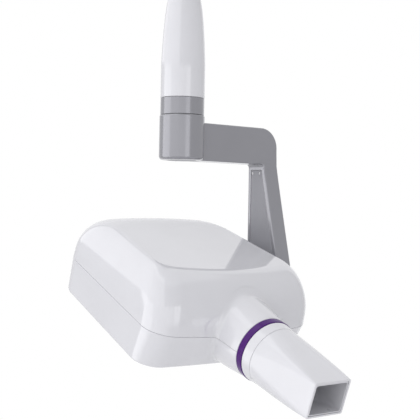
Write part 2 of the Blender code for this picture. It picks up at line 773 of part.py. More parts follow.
def shell_screws():
    """Long screws from below, heads in the recesses of the lower shell."""
    shank = 1.2 * MM
    head_r = 4.0 * MM
    tip = 17.0 * MM
    seat = -35.2 * MM
    profile = [(0.0, tip), (shank, tip), (shank, seat), (head_r, seat)]
    profile += [(head_r, seat - 3.0 * MM), (0.0, seat - 3.0 * MM)]
    kept = {"sides": 16, "closed": False, "look": STEEL, "parent": TILT}
    for i, (x, y) in enumerate(SCREW_SPOTS):
        turned(f"shell_screw_{i + 1}", profile, place=(x * MM, y * MM, 0.0), **kept)


# ---------------------------------------------------------------- beam limiter


def cone_socket():
    """Aluminium tube from the tank's port to the ring; the cone's spigot turns in it."""
    kept = {"along": "y", "look": ALUMINIUM, "parent": TILT}
    ring("cone_socket", SOCKET_R, SOCKET_BORE, RING_FRONT - 0.5 * MM, 96.0 * MM, **kept)


def neck_ring():
    """Coloured trim ring between the neck and the cone's collar."""
    edge = 0.6 * MM
    profile = (
        (NECK_R - edge, RING_FRONT),
        (NECK_R, RING_FRONT - edge),
        (NECK_R, RING_REAR + edge),
        (NECK_R - edge, RING_REAR),
        (RING_BORE, RING_REAR),
        (RING_BORE, RING_FRONT),
    )
    turned("neck_ring", profile, "y", sides=36, look=PURPLE, parent=TILT)


def cone_collar():
    """White collar with a spigot that runs back into the socket, and a groove for its clip."""
    spigot = SOCKET_BORE - GAP
    groove = SOCKET_BORE - 2.0 * MM
    bore = SOCKET_BORE - 4.0 * MM
    front = COLLAR_GROOVE - 0.2 * MM
    profile = (
        (CONE_R + 0.1 * MM, front),
        (NECK_R - 0.5 * MM, RING_FRONT + 1.0 * MM),
        (NECK_R - 1.2 * MM, RING_FRONT + GAP),
        (spigot, RING_FRONT + GAP),
        (spigot, CLIP_FRONT + GAP),
        (groove, CLIP_FRONT + GAP),
        (groove, CLIP_REAR - GAP),
        (spigot, CLIP_REAR - GAP),
        (spigot, 132.0 * MM),
        (bore, 132.0 * MM),
        (bore, front),
    )
    turned("cone_collar", profile, "y", sides=36, look=WHITE, parent=CONE)


def cone_clip():
    """Spring clip ring in the spigot's groove: it gives the turning cone its grip."""
    outer = SOCKET_BORE - GAP
    kept = {"along": "y", "sides": 24, "look": STEEL, "parent": CONE}
    ring("cone_clip", outer, outer - 1.3 * MM, CLIP_FRONT, CLIP_REAR, **kept)


def round_to_mouth(share, inset):
    """A loop |u / w| ^ n + |v / h| ^ n = 1, drawn in by the inset. Its 2 / n falls from 1 at the round
    root to a small value at the rectangular mouth, so that its corners sharpen on the way.
    """
    wide = CONE_R + share * (MOUTH_W / 2 - CONE_R) - inset
    tall = CONE_R + share * (MOUTH_H / 2 - CONE_R) - inset
    power = MOUTH_POWER + (1 - MOUTH_POWER) * max(1 - share, 0.0) ** CORNER_FADE
    points = []
    for i in range(CONE_SIDES):
        turn = 2 * math.pi * (i + 0.5) / CONE_SIDES
        u = wide * math.copysign(abs(math.cos(turn)) ** power, math.cos(turn))
        v = tall * math.copysign(abs(math.sin(turn)) ** power, math.sin(turn))
        points.append((u, v))
    return points


def cone_form(name, inset, start, end, **kept):
    """A form from the round root to the rectangular mouth, between two distances."""
    rings = []
    for i in range(CONE_STEPS + 1):
        distance = start + (end - start) * i / CONE_STEPS
        share = (distance - COLLAR_GROOVE) / (CONE_END - COLLAR_GROOVE)
        rings.append([(u, -distance, v) for u, v in round_to_mouth(share, inset)])
    return loft(name, rings, **kept)


def cone_shell():
    """White moulded limiter, round at the collar and rectangular at the mouth."""
    start = COLLAR_GROOVE + 0.1 * MM
    made = cone_form("cone_shell", 0.0, start, CONE_END, look=WHITE, parent=CONE)
    ends = (COLLAR_GROOVE - 0.01, CONE_END + 0.01)
    boolean(made, cone_form("cone_hollow", CONE_WALL, *ends, parent=CONE))


def cone_liner():
    """Thin grey lining that stops stray rays, set just inside the mouth."""
    inset = CONE_WALL + 0.5 * MM
    reach = (COLLAR_GROOVE + 1.0 * MM, CONE_END - 0.8 * MM)
    made = cone_form("cone_liner", inset, *reach, look=LINER_GREY, parent=CONE)
    ends = (COLLAR_GROOVE - 0.01, CONE_END + 0.01)
    boolean(made, cone_form("liner_hollow", inset + LINER_WALL, *ends, parent=CONE))


# ---------------------------------------------------------------- tilt shaft and its stack


def tilt_shaft():
    """Hollow pivot shaft with the hub and flange that bolt to the tank's side."""
    hub = 19.5 * MM
    hub_face = DIAL_OUT + 0.2 * MM
    flange = 26.0 * MM
    profile = (
        (0.0, SHAFT_END),
        (SHAFT_R, SHAFT_END),
        (SHAFT_R, hub_face),
        (hub, hub_face),
        (hub, 78.0 * MM),
        (flange, 76.0 * MM),
        (flange, TANK_HALF + GAP),
        (0.0, TANK_HALF + GAP),
    )
    made = turned("tilt_shaft", profile, "x", sides=32, closed=False, look=STEEL, parent=TILT)
    boolean(made, rod("shaft_bore", SHAFT_BORE, (79.0 * MM, 0.0, 0.0), 0.08, "x", parent=TILT))
    boolean(made, rod("cable_exit", 5.0 * MM, (84.5 * MM, 0.0, 0.0), 0.03, "z", parent=TILT))


def angle_dial():
    """Flat ring round the hub that carries the tilt scale."""
    kept = {"along": "x", "sides": 36, "look": WHITE, "parent": TILT}
    ring("angle_dial", 30.5 * MM, 19.8 * MM, DIAL_OUT, DIAL_IN, **kept)


def tilt_stack():
    """Friction disc, cone spring and nut that clamp the pivot boss."""
    face = STACK_FACE
    bore = SHAFT_R + GAP
    kept = {"along": "x", "sides": 24, "parent": TILT}
    ring("friction_disc", 18.0 * MM, bore, face + 1.8 * MM, face + GAP, look=FIBRE, **kept)
    spring = (
        (14.0 * MM, face + 3.4 * MM),
        (17.0 * MM, face + 2.6 * MM),
        (17.0 * MM, face + 2.1 * MM),
        (bore, face + 2.9 * MM),
        (bore, face + 4.2 * MM),
    )
    turned("cone_spring", spring, look=STEEL, **kept)
    hex_nut("tilt_nut", 15.0 * MM, bore, (face + 4.5 * MM, 0.0, 0.0), 5.0 * MM, "x", TILT)


def head_cable():
    """From the pivot axis through the hub and up to the board."""
    route = (
        (JOINT_FACE, 0.0, 0.0),
        (104.0 * MM, 0.0, 0.0),
        (95.0 * MM, 0.0, 0.0),
        (88.0 * MM, 0.0, 3.5 * MM),
        (84.5 * MM, 0.0, 11.0 * MM),
        (84.3 * MM, 0.0, 26.0 * MM),
        (81.0 * MM, 0.0, 41.0 * MM),
        (70.0 * MM, 0.0, 48.0 * MM),
        (BOARD_HALF_X + 2.0 * MM, 0.0, 48.5 * MM),
    )
    cable("head_cable", route, TILT)


# ---------------------------------------------------------------- tank and what it holds


def tank():
    """Cast aluminium oil tank, open at the top, with the beam port in its front wall."""
    low = (-TANK_HALF, TANK_FRONT, TANK_BOTTOM)
    made = box("tank", low, (TANK_HALF, TANK_REAR, TANK_TOP), look=ALUMINIUM, parent=TILT)
    inner_low = [c + TANK_WALL for c in low]
    inner_high = (TANK_HALF - TANK_WALL, TANK_REAR - TANK_WALL, TANK_TOP + 0.01)
    boolean(made, box("tank_inside", inner_low, inner_high, parent=TILT))
    boolean(made, rod("tank_port", PORT_R, (0.0, -0.07, 0.0), 0.03, "y", parent=TILT))


def tank_lid():
    """Gasket and cover plate on the tank's rim, with the oil filler plug."""
    half = TANK_HALF
    gasket_low = TANK_TOP + GAP
    gasket_top = gasket_low + GASKET_T
    high = (half, TANK_REAR, gasket_top)
    gasket = box("tank_gasket", (-half, TANK_FRONT, gasket_low), high, look=RUBBER, parent=TILT)
    rim = 6.0 * MM
    inner = ((-half + rim, TANK_FRONT + rim, 0.0), (half - rim, TANK_REAR - rim, 0.1))
    boolean(gasket, box("gasket_inside", *inner, parent=TILT))
    low = (-half, TANK_FRONT, gasket_top + GAP)
    high = (half, TANK_REAR, TANK_COVER_TOP)
    cover = box("tank_cover", low, high, look=ALUMINIUM, parent=TILT)
    plug_r = 5.0 * MM
    boolean(cover, rod("filler_hole", plug_r + GAP, (*FILLER_SPOT, 0.02), 0.04, "z", parent=TILT))
    head_r = 8.0 * MM
    seat = TANK_COVER_TOP + GAP
    end = TANK_COVER_TOP - 5.0 * MM
    plug = [(0.0, seat + 3.0 * MM), (head_r, seat + 3.0 * MM), (head_r, seat)]
    plug += [(plug_r, seat), (plug_r, end), (0.0, end)]
    kept = {"sides": 20, "closed": False, "look": BRASS, "parent": TILT}
    turned("filler_plug", plug, place=(*FILLER_SPOT, 0.0), **kept)


def beam_window():
    """Clear moulded window cup in the tank's port."""
    front = -TANK_FRONT
    flange = 19.0 * MM
    plug = PORT_R - GAP
    profile = (
        (0.0, front + 2.0 * MM),
        (flange, front + 2.0 * MM),
        (flange, front + GAP),
        (plug, front + GAP),
        (plug, front - 6.0 * MM),
        (0.0, front - 6.0 * MM),
    )
    turned("beam_window", profile, "y", closed=False, sides=32, look=CLEAR, parent=TILT)


def filter_and_diaphragm():
    """Aluminium filter disc, then the lead plate whose opening shapes the beam."""
    kept = {"along": "y", "sides": 32, "parent": TILT}
    disc("aluminium_filter", 24.0 * MM, 90.0 * MM, 88.0 * MM, look=ALUMINIUM, **kept)
    lead = disc("lead_diaphragm", 24.5 * MM, 95.0 * MM, 92.0 * MM, look=LEAD, **kept)
    half_w = 10.5 * MM
    half_h = 8.5 * MM
    opening = box("beam_opening", (-half_w, -0.11, -half_h), (half_w, -0.08, half_h), parent=TILT)
    boolean(lead, opening)


def xray_tube():
    """Glass envelope along X, with the copper anode from one end and the cathode from the other."""
    place = (0.0, FOCUS_Y, 0.0)
    wall = 1.5 * MM
    neck = STEM_R + GAP + wall
    outer = [(neck, BULB_HALF + 12 * MM), (neck, BULB_HALF)]
    outer += [(BULB_R, BULB_HALF - 14 * MM), (BULB_R, -BULB_HALF + 14 * MM)]
    outer += [(neck, -BULB_HALF), (neck, -BULB_HALF - 12 * MM)]
    inner = [(r - wall, z) for r, z in reversed(outer)]
    turned("tube_envelope", outer + inner, "x", place, 24, look=GLASS, parent=TILT)
    reach = BULB_HALF + 14 * MM
    anode = rod("anode", STEM_R, (0.0, FOCUS_Y, 0.0), reach, "x", look=COPPER, parent=TILT)
    kept = {"place": (0.003, FOCUS_Y, 0.0), "turn": (0.0, 0.0, math.radians(-20)), "parent": TILT}
    boolean(anode, box("target_wedge", (-0.02, -0.03, -0.02), (0.0, 0.03, 0.02), **kept))
    cup = 13.0 * MM
    cathode = (
        (0.0, -12 * MM),
        (cup, -12 * MM),
        (cup, -20 * MM),
        (5.0 * MM, -22 * MM),
        (5.0 * MM, -BULB_HALF + 6 * MM),
        (STEM_R, -BULB_HALF + 2 * MM),
        (STEM_R, -reach),
        (0.0, -reach),
    )
    made = turned("cathode", cathode, "x", place, 24, closed=False, look=STEEL, parent=TILT)
    slot = ((-18 * MM, FOCUS_Y - 2 * MM, -7 * MM), (-10 * MM, FOCUS_Y + 2 * MM, 7 * MM))
    boolean(made, box("filament_slot", *slot, parent=TILT))


def block(name, low, high, look=None):
    """A box of the head, from corners given in millimetres."""
    low = [c * MM for c in low]
    high = [c * MM for c in high]
    return box(name, low, high, look=look, parent=TILT)


def high_voltage():
    """Transformer core and winding beside the beam, the multiplier opposite, the filament transformer."""
    core = block("transformer_core", (-60, -72, -26), (-28, -8, 24), CORE_GREY)
    for i, (front, rear) in enumerate(((-62, -45), (-35, -18))):
        boolean(core, block(f"core_window_{i + 1}", (-70, front, -16), (-20, rear, 14)))
    coil = block("transformer_coil", (-64, -61.5, -15.7), (-24, -18.5, 13.7), WINDING)
    boolean(coil, block("coil_inside", (-60.3, -45.3, -50), (-27.7, -34.7, 50)))
    board = block("multiplier_board", (34, -74, -26), (36, 4, 24), BOARD_GREEN)
    for i, y in enumerate((-62, -40, -18)):
        capacitor = block(f"capacitor_{i + 1}", (35.5, y - 8, -20), (48, y + 8, 18))
        boolean(board, capacitor, "UNION")
    block("filament_transformer", (-62, 2, -30), (-38, 14, -8), WINDING)


def expansion_bellows():
    """Ribbed rubber capsule on the tank floor that takes up the oil's expansion."""
    crest = 18 * MM
    valley = 14 * MM
    profile = [(0.0, 16 * MM), (crest, 16 * MM), (crest, 14 * MM)]
    for i in range(3):
        profile += [(valley, (12 - 4 * i) * MM), (crest, (10 - 4 * i) * MM)]
    profile += [(crest, 0.0), (0.0, 0.0)]
    place = (0.0, -10 * MM, TANK_BOTTOM + TANK_WALL + GAP)
    kept = {"sides": 24, "closed": False, "look": RUBBER, "parent": TILT}
    turned("expansion_bellows", profile, place=place, **kept)


def control_board():
    """Circuit board on the tank cover, with its heat sink, relay, driver and connector."""
    bottom = TANK_COVER_TOP / MM + 4.5
    top = bottom + 1.6
    half = BOARD_HALF_X / MM
    made = block("control_board", (-half, -60, bottom), (half, 45, top), BOARD_GREEN)
    components = (
        ("heat_sink", (-40, -40), (-10, -15), 7),
        ("relay", (0, -45), (22, -22), 5),
        ("driver", (-30, 8), (10, 30), 6),
        ("connector", (36, -8), (56, 8), 6),
    )
    for name, near, far, rise in components:
        piece = block(name, (*near, top - 0.5), (*far, top + rise))
        boolean(made, piece, "UNION")


clear_scene()
PARTS = new_collection("intraoral_xray_unit")
CUTTERS = new_collection("cutters")
CUTTERS.hide_render = True

WHITE = material("white_plastic", (0.80, 0.80, 0.83), 0.22)
YOKE_GREY = material("grey_paint", (0.30, 0.30, 0.325), 0.38)
COVER_GREY = material("grey_plastic", (0.33, 0.33, 0.35), 0.42)
PURPLE = material("purple_plastic", (0.085, 0.018, 0.19), 0.3)
LINER_GREY = material("liner_grey", (0.45, 0.45, 0.47), 0.5)
STEEL = material("steel", (0.55, 0.55, 0.56), 0.3, 1.0)
ALUMINIUM = material("cast_aluminium", (0.6, 0.6, 0.61), 0.45, 1.0)
BRONZE = material("bronze", (0.5, 0.33, 0.16), 0.4, 1.0)
BRASS = material("brass", (0.65, 0.5, 0.22), 0.35, 1.0)
COPPER = material("copper", (0.72, 0.36, 0.24), 0.3, 1.0)
LEAD = material("lead", (0.3, 0.31, 0.33), 0.5, 1.0)
CORE_GREY = material("core_steel", (0.2, 0.2, 0.21), 0.5, 0.8)
WINDING = material("varnished_winding", (0.35, 0.16, 0.06), 0.5)
BOARD_GREEN = material("circuit_board", (0.03, 0.16, 0.07), 0.5)
NYLON = material("nylon", (0.75, 0.74, 0.7), 0.5)
FIBRE = material("friction_fibre", (0.16, 0.13, 0.1), 0.8)
RUBBER = material("black_rubber", (0.03, 0.03, 0.03), 0.7)
CABLE_GREY = material("cable_jacket", (0.25, 0.25, 0.27), 0.6)
GLASS = material("tube_glass", (0.8, 0.85, 0.85), 0.05, 0.0, 0.35)
CLEAR = material("clear_plastic", (0.8, 0.8, 0.75), 0.1, 0.0, 0.5)

SWIVEL = add_empty("swivel_axis", (0.0, 0.0, 0.0))
TILT = add_empty("tilt_axis", PIVOT, (HEAD_TILT, 0.0, 0.0))
CONE = add_empty("cone_axis", (0.0, 0.0, 0.0), parent=TILT)

mounting_flange()
arm_tube()
arm_sleeve()
arm_collar()
brake_screw()
swivel_bushes()
thrust_washer()
arm_cable()
yoke_casting()
yoke_cover()
cover_screws()
swivel_spindle()
knuckle_cap()
tilt_bushes()
pivot_cap()
yoke_cable()
head_shells()
shell_screws()
cone_socket()
neck_ring()
cone_collar()
cone_clip()
cone_shell()
cone_liner()
tilt_shaft()
angle_dial()
tilt_stack()
head_cable()
tank()
tank_lid()
beam_window()
filter_and_diaphragm()
xray_tube()
high_voltage()
expansion_bellows()
control_board()
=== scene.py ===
"""Looks of the intraoral x-ray unit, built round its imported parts.

Lengths are in millimetres until a surface becomes a mesh. The head's and the cone's pieces are worked
out level, about the tilt axis: x to the right, y backwards along the beam, z up, then tilted.
"""

import json

import bmesh
import bpy
import numpy as np
from mathutils import Matrix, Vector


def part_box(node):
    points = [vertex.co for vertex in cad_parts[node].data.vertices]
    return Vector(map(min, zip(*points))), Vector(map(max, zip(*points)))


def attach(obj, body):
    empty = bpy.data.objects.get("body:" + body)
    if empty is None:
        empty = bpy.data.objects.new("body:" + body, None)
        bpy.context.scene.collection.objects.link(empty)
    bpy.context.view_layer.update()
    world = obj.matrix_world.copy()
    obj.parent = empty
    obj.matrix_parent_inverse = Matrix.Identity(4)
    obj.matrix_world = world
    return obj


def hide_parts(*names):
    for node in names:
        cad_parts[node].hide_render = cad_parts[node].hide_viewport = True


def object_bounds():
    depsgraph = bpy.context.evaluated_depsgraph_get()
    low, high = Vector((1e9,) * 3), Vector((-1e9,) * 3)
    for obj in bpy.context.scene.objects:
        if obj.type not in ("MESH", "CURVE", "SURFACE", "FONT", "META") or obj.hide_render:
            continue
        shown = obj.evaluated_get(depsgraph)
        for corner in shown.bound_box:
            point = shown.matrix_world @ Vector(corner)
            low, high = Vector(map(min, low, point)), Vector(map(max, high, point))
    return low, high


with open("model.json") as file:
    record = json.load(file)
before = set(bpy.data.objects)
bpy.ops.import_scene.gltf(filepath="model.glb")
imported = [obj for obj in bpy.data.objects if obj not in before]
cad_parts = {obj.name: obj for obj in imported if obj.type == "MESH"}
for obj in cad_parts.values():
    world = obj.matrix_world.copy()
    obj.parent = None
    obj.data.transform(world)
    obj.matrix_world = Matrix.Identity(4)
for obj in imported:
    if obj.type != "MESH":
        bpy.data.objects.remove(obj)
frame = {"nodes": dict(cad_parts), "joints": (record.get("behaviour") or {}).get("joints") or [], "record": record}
cad_low, cad_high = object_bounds()
nodes = frame["nodes"]
joints = {joint["name"]: joint for joint in frame["joints"]}
MM = 0.001

# ---------------------------------------------------------------- studio
# A white cove, lit from all round and more strongly from the camera's side, from up on its left and
# from the ceiling. The camera looks level at the unit, from in front of it and to its left.

scene = bpy.context.scene
scene.view_settings.view_transform = "Standard"

EYE = (-0.6387, -0.9132, -0.2751)
HEADING = np.radians(36.83)
LEAN = np.radians(1.11)
LENS = 78.23

ahead = np.array((np.sin(HEADING), np.cos(HEADING), 0.0))
level = np.array((np.cos(HEADING), -np.sin(HEADING), 0.0))
rise = np.array((0.0, 0.0, 1.0))
right = np.cos(LEAN) * level + np.sin(LEAN) * rise
top = np.cos(LEAN) * rise - np.sin(LEAN) * level
lens = bpy.data.cameras.new("camera")
lens.lens = LENS
lens.sensor_width = 36.0
camera = bpy.data.objects.new("camera", lens)
camera.matrix_world = Matrix(np.vstack([np.column_stack([right, top, -ahead, EYE]), (0, 0, 0, 1)]))
scene.collection.objects.link(camera)
scene.camera = camera


class Value:
    """A number that varies over a surface. Arithmetic on it adds Math nodes to its tree."""

    def __init__(self, nodes, socket):
        self.nodes = nodes
        self.socket = socket

    def math(self, operation, *operands):
        made = self.nodes.node("ShaderNodeMath", {"operation": operation}, dict(enumerate(operands)))
        return Value(self.nodes, made.outputs[0])

    def __add__(self, other):
        return self.math("ADD", self, other)

    def __rsub__(self, other):
        return self.math("SUBTRACT", other, self)

    def __mul__(self, other):
        return self.math("MULTIPLY", self, other)

    __radd__ = __add__


class Nodes:
    """A node tree, filled through one method."""

    def __init__(self, tree):
        self.tree = tree

    def node(self, kind, settings=(), inputs=()):
        """One node of a kind, with its settings first and then its sockets' values or links."""
        made = self.tree.nodes.new(kind)
        for key, value in dict(settings).items():
            setattr(made, key, value)
        for key, value in dict(inputs).items():
            self.fill(made.inputs[key], value)
        return made

    def fill(self, socket, value):
        value = getattr(value, "socket", value)
        if isinstance(value, bpy.types.NodeSocket):
            self.tree.links.new(value, socket)
        else:
            socket.default_value = value

    def dot(self, vector, axis):
        made = self.node("ShaderNodeVectorMath", {"operation": "DOT_PRODUCT"}, {0: vector, 1: axis})
        return Value(self, made.outputs["Value"])

    def step(self, value, low, high):
        """0 below the low value, 1 above the high one, and smooth between."""
        inputs = {"Value": value, "From Min": low, "From Max": high}
        made = self.node("ShaderNodeMapRange", {"interpolation_type": "SMOOTHSTEP"}, inputs)
        return Value(self, made.outputs[0])


world = bpy.data.worlds.new("cove")
world.use_nodes = True
scene.world = world
cove = Nodes(world.node_tree)
direction = cove.node("ShaderNodeTexCoord").outputs["Generated"]
height = cove.dot(direction, (0.0, 0.0, 1.0))
aside = cove.dot(direction, tuple(level))
behind = cove.dot(direction, tuple(-ahead))
bearing = aside.math("ARCTAN2", aside, behind)

# White light from all round and, added to it, from the soft panel behind the camera, its two brighter
# edge strips, the large panel up on the left, the backdrop behind the unit and the ceiling.
ROOM = 0.60
FRONT_GAIN = 0.44
LEFT_STRIP_GAIN = 0.95
RIGHT_STRIP_GAIN = 0.85
LEFT_GAIN = 0.54
REAR_GAIN = 0.26
CEILING_GAIN = 0.28


def window(value, low, high, soft=0.03):
    """1 between two values, fading to 0 over a soft edge outside them."""
    return cove.step(value, low - soft, low) * (1.0 - cove.step(value, high, high + soft))


def bearings(low, high):
    """1 between two bearings in degrees, 0 being behind the camera and 90 to its right."""
    return window(bearing, np.radians(low), np.radians(high))


front_heights = window(height, -0.5, 0.16)
lobes = [
    (bearings(-60.0, 20.0) * front_heights, FRONT_GAIN),
    (bearings(-108.0, -62.0) * front_heights, LEFT_STRIP_GAIN),
    (bearings(22.0, 42.0) * front_heights, RIGHT_STRIP_GAIN),
    (bearings(-142.0, -18.0) * window(height, 0.19, 0.93), LEFT_GAIN),
    ((1.0 - bearings(-150.0, 140.0)) * window(height, -0.5, 0.8), REAR_GAIN),
    (cove.step(height, 0.80, 0.84), CEILING_GAIN),
]
glow = sum((lobe * gain for lobe, gain in lobes), ROOM)
room = cove.node("ShaderNodeBackground", inputs={"Strength": glow, "Color": (1.0, 1.0, 1.02, 1.0)})
backdrop = cove.node("ShaderNodeBackground", inputs={"Strength": 1.0, "Color": (1.0, 1.0, 1.0, 1.0)})
seen = cove.node("ShaderNodeLightPath").outputs["Is Camera Ray"]
mixed = cove.node("ShaderNodeMixShader", inputs={0: seen, 1: room.outputs[0], 2: backdrop.outputs[0]})
cove.fill(world.node_tree.nodes["World Output"].inputs["Surface"], mixed.outputs[0])

FLOOR_DROP = 0.35
FLOOR_HALF = 1.5
sheet = bpy.data.meshes.new("floor")
floor_z = cad_low.z - FLOOR_DROP
corners = [(-1, -1), (1, -1), (1, 1), (-1, 1)]
sheet.from_pydata([(FLOOR_HALF * x, FLOOR_HALF * y, floor_z) for x, y in corners], [], [(0, 1, 2, 3)])
floor = bpy.data.objects.new("floor", sheet)
scene.collection.objects.link(floor)
paper = bpy.data.materials.new("cove_paper")
paper.use_nodes = True
drawn = Nodes(paper.node_tree)
spot = drawn.node("ShaderNodeTexCoord").outputs["Object"]
away = drawn.node("ShaderNodeVectorMath", {"operation": "LENGTH"}, {0: spot}).outputs["Value"]
paint = paper.node_tree.nodes["Principled BSDF"].inputs
paint["Base Color"].default_value = (0.85, 0.85, 0.85, 1.0)
paint["Roughness"].default_value = 0.9
drawn.fill(paint["Alpha"], 1.0 - drawn.step(away, 0.9, 1.45))
sheet.materials.append(paper)

# ---------------------------------------------------------------- arm sleeve
# Glossy white moulding that slides over the steel tube of the arm's end: straight below, drawn in
# towards a round shoulder under the flange. It rests on the collar.


class Finish(Nodes):
    """A Principled material: constants sit on the shader's sockets, patterns are linked into them."""

    def __init__(self, name, colour, roughness, **constants):
        self.material = bpy.data.materials.new(name)
        self.material.use_nodes = True
        super().__init__(self.material.node_tree)
        self.shader = self.tree.nodes["Principled BSDF"]
        self.colour = (*colour, 1.0)
        self.set("Base Color", self.colour)
        self.set("Roughness", roughness)
        for socket, value in constants.items():
            self.set(socket.replace("_", " "), value)
        self.place = self.node("ShaderNodeTexCoord").outputs["Object"]

    def set(self, socket, value):
        self.fill(self.shader.inputs[socket], value)

    def noise(self, scale, detail=2.0, stretch=(1.0, 1.0, 1.0)):
        """Cloudy noise about 0.5, with so many lumps to the metre along each axis."""
        place = self.node("ShaderNodeMapping", inputs={"Vector": self.place, "Scale": stretch})
        inputs = {"Vector": place.outputs[0], "Scale": scale, "Detail": detail}
        return Value(self, self.node("ShaderNodeTexNoise", inputs=inputs).outputs["Fac"])

    def tint(self, mask, colour):
        """Mixes a second colour into the base colour where the mask is 1."""
        inputs = {0: mask, 6: self.colour, 7: (*colour, 1.0)}
        made = self.node("ShaderNodeMix", {"data_type": "RGBA"}, inputs)
        self.set("Base Color", made.outputs[2])

    def bump(self, height, distance):
        """Raises the surface by the height's share of a distance in millimetres."""
        inputs = {"Height": height, "Distance": distance * MM, "Strength": 1.0}
        self.set("Normal", self.node("ShaderNodeBump", inputs=inputs).outputs[0])


def moulded(name, colour, roughness, grain, **constants):
    """Moulded plastic or paint: faint clouding, a fine skin, and a polish that varies a little."""
    made = Finish(name, colour, roughness, **constants)
    clouds = made.noise(14.0, 3.0)
    darker = [channel * 0.965 for channel in colour]
    made.tint(made.step(clouds, 0.35, 0.75), darker)
    skin_noise = made.noise(900.0, 2.0)
    wear = made.noise(70.0, 4.0)
    made.set("Roughness", wear * (roughness * 0.5) + roughness * 0.75)
    made.bump(skin_noise, grain)
    return made


gloss = {"IOR": 1.75, "Coat_Weight": 1.0, "Coat_Roughness": 0.01}
white = moulded("white_plastic", (0.76, 0.76, 0.79), 0.08, 0.001, **gloss)


def skin(points, around=True, closed=False, caps=False):
    """Quads between neighbours of a (rows, columns, 3) grid of points in millimetres.

    The columns join up where around is set and the rows where closed is set; caps fill the polygons
    of the first and last column, or of the first and last row where the columns join up.
    """
    rows, columns = points.shape[:2]
    index = np.arange(rows * columns).reshape(rows, columns)
    ends = (index[0], index[-1]) if around else (index[:, 0], index[:, -1])
    if around:
        index = np.concatenate([index, index[:, :1]], 1)
    if closed:
        index = np.concatenate([index, index[:1]], 0)
    quads = np.stack([index[:-1, :-1], index[:-1, 1:], index[1:, 1:], index[1:, :-1]], -1)
    faces = quads.reshape(-1, 4).tolist()
    if caps:
        faces += [end.tolist() for end in ends]
    form = bmesh.new()
    made = bpy.data.meshes.new("skin")
    made.from_pydata(points.reshape(-1, 3) * MM, [], faces)
    form.from_mesh(made)
    bmesh.ops.remove_doubles(form, verts=form.verts, dist=0.000002)
    bmesh.ops.dissolve_degenerate(form, edges=form.edges, dist=0.000001)
    bmesh.ops.recalc_face_normals(form, faces=form.faces)
    form.to_mesh(made)
    form.free()
    return made


def piece(name, skins, look, slot, body, *stands_for, sharp=38.0):
    """One object from its skins, shaded smooth but for sharp edges, riding on its body."""
    form = bmesh.new()
    for part in skins:
        form.from_mesh(part)
        bpy.data.meshes.remove(part)
    mesh = bpy.data.meshes.new(name)
    form.to_mesh(mesh)
    form.free()
    mesh.shade_smooth()
    mesh.set_sharp_from_angle(angle=np.radians(sharp))
    mesh.materials.append(look.material)
    made = bpy.data.objects.new(name, mesh)
    scene.collection.objects.link(made)
    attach(made, body)
    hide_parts(*stands_for)
    return made


def rounded(corners, radii, steps=6):
    """A polyline of (u, v) corners with arcs at those of a radius over 0.

    Each arc touches both sides, which start at the corner's distance radius / tan(half its angle);
    a further point a fifth of the radius outside each end keeps the flats flat.
    """
    corners = np.array(corners, float)
    points = [corners[:1]]
    for before, corner, after, radius in zip(corners, corners[1:], corners[2:], radii[1:]):
        if radius == 0:
            points.append(corner[None])
            continue
        back = (before - corner) / np.linalg.norm(before - corner)
        on = (after - corner) / np.linalg.norm(after - corner)
        half = np.arccos(np.clip(back @ on, -1, 1)) / 2
        centre = corner + (back + on) / np.linalg.norm(back + on) * radius / np.sin(half)
        reach = radius / np.tan(half)
        start = corner + back * reach - centre
        end = corner + on * reach - centre
        turn = np.linspace(0, 1, steps + 1)[:, None] * (np.pi - 2 * half)
        arc = (start * np.sin(np.pi - 2 * half - turn) + end * np.sin(turn)) / np.sin(2 * half)
        points += [(corner + back * reach * 1.2)[None], centre + arc, (corner + on * reach * 1.2)[None]]
    return np.concatenate([*points, corners[-1:]])


def turned(profile, along, centre, count=160, closed=False):
    """A (radius, height) profile turned about an axis: centre + height * axis + radius * direction."""
    axis = {"x": (1, 0, 0), "z": (0, 0, 1), "beam": (0, -1, 0)}[along]
    one = np.array((0, 0, 1) if along != "z" else (1, 0, 0), float)
    two = np.cross(axis, one)
    a = np.linspace(0, 2 * np.pi, count, endpoint=False)
    ring = np.cos(a)[:, None] * one + np.sin(a)[:, None] * two
    profile = np.array(profile, float)
    points = profile[:, 0, None, None] * ring + profile[:, 1, None, None] * np.array(axis, float)
    return skin(points + np.array(centre, float), closed=closed)


SLEEVE_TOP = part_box("arm_sleeve")[1].z / MM
SLEEVE_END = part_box("arm_sleeve")[0].z / MM
SLEEVE_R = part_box("arm_sleeve")[1].x / MM
SLEEVE_STRAIGHT = -99.0
SLEEVE_CROWN = 93.0
SLEEVE_NECK_R = 16.1
SLEEVE_NECK_WALL = 0.6
SLEEVE_WALL = 2.2
SLEEVE_LOWER_HALF = -110.0

# radius = R * (1 - (height above the straight part / crown) ^ 1.1) ^ 0.16
share = np.linspace(0, 1, 60) ** 1.7
heights = SLEEVE_TOP + (SLEEVE_STRAIGHT - SLEEVE_TOP) * share
drawn = 1.0 - ((heights - SLEEVE_STRAIGHT) / SLEEVE_CROWN) ** 1.1
radii = np.maximum(SLEEVE_R * drawn**0.16, SLEEVE_NECK_R)
outside = np.column_stack([radii, heights])
foot_corners = [(SLEEVE_R, SLEEVE_LOWER_HALF), (SLEEVE_R, SLEEVE_END), (SLEEVE_R - 2, SLEEVE_END)]
foot = rounded(foot_corners, (0, 0.5, 0), 3)
inside = outside[::-4] - (SLEEVE_WALL, 0.0)
inside[:, 0] = np.maximum(inside[:, 0], SLEEVE_NECK_R - SLEEVE_NECK_WALL)
sleeve_profile = np.concatenate([outside, foot, [(SLEEVE_R - SLEEVE_WALL, SLEEVE_END)], inside])
piece("arm_sleeve_cover", [turned(sleeve_profile, "z", (0, 0, 0), closed=True)],
      white, "white_plastic", "arm", "arm_sleeve")

# ---------------------------------------------------------------- mounting flange
# Turned steel end plate with three bolt holes and the cable's hole, bolted up to the arm.

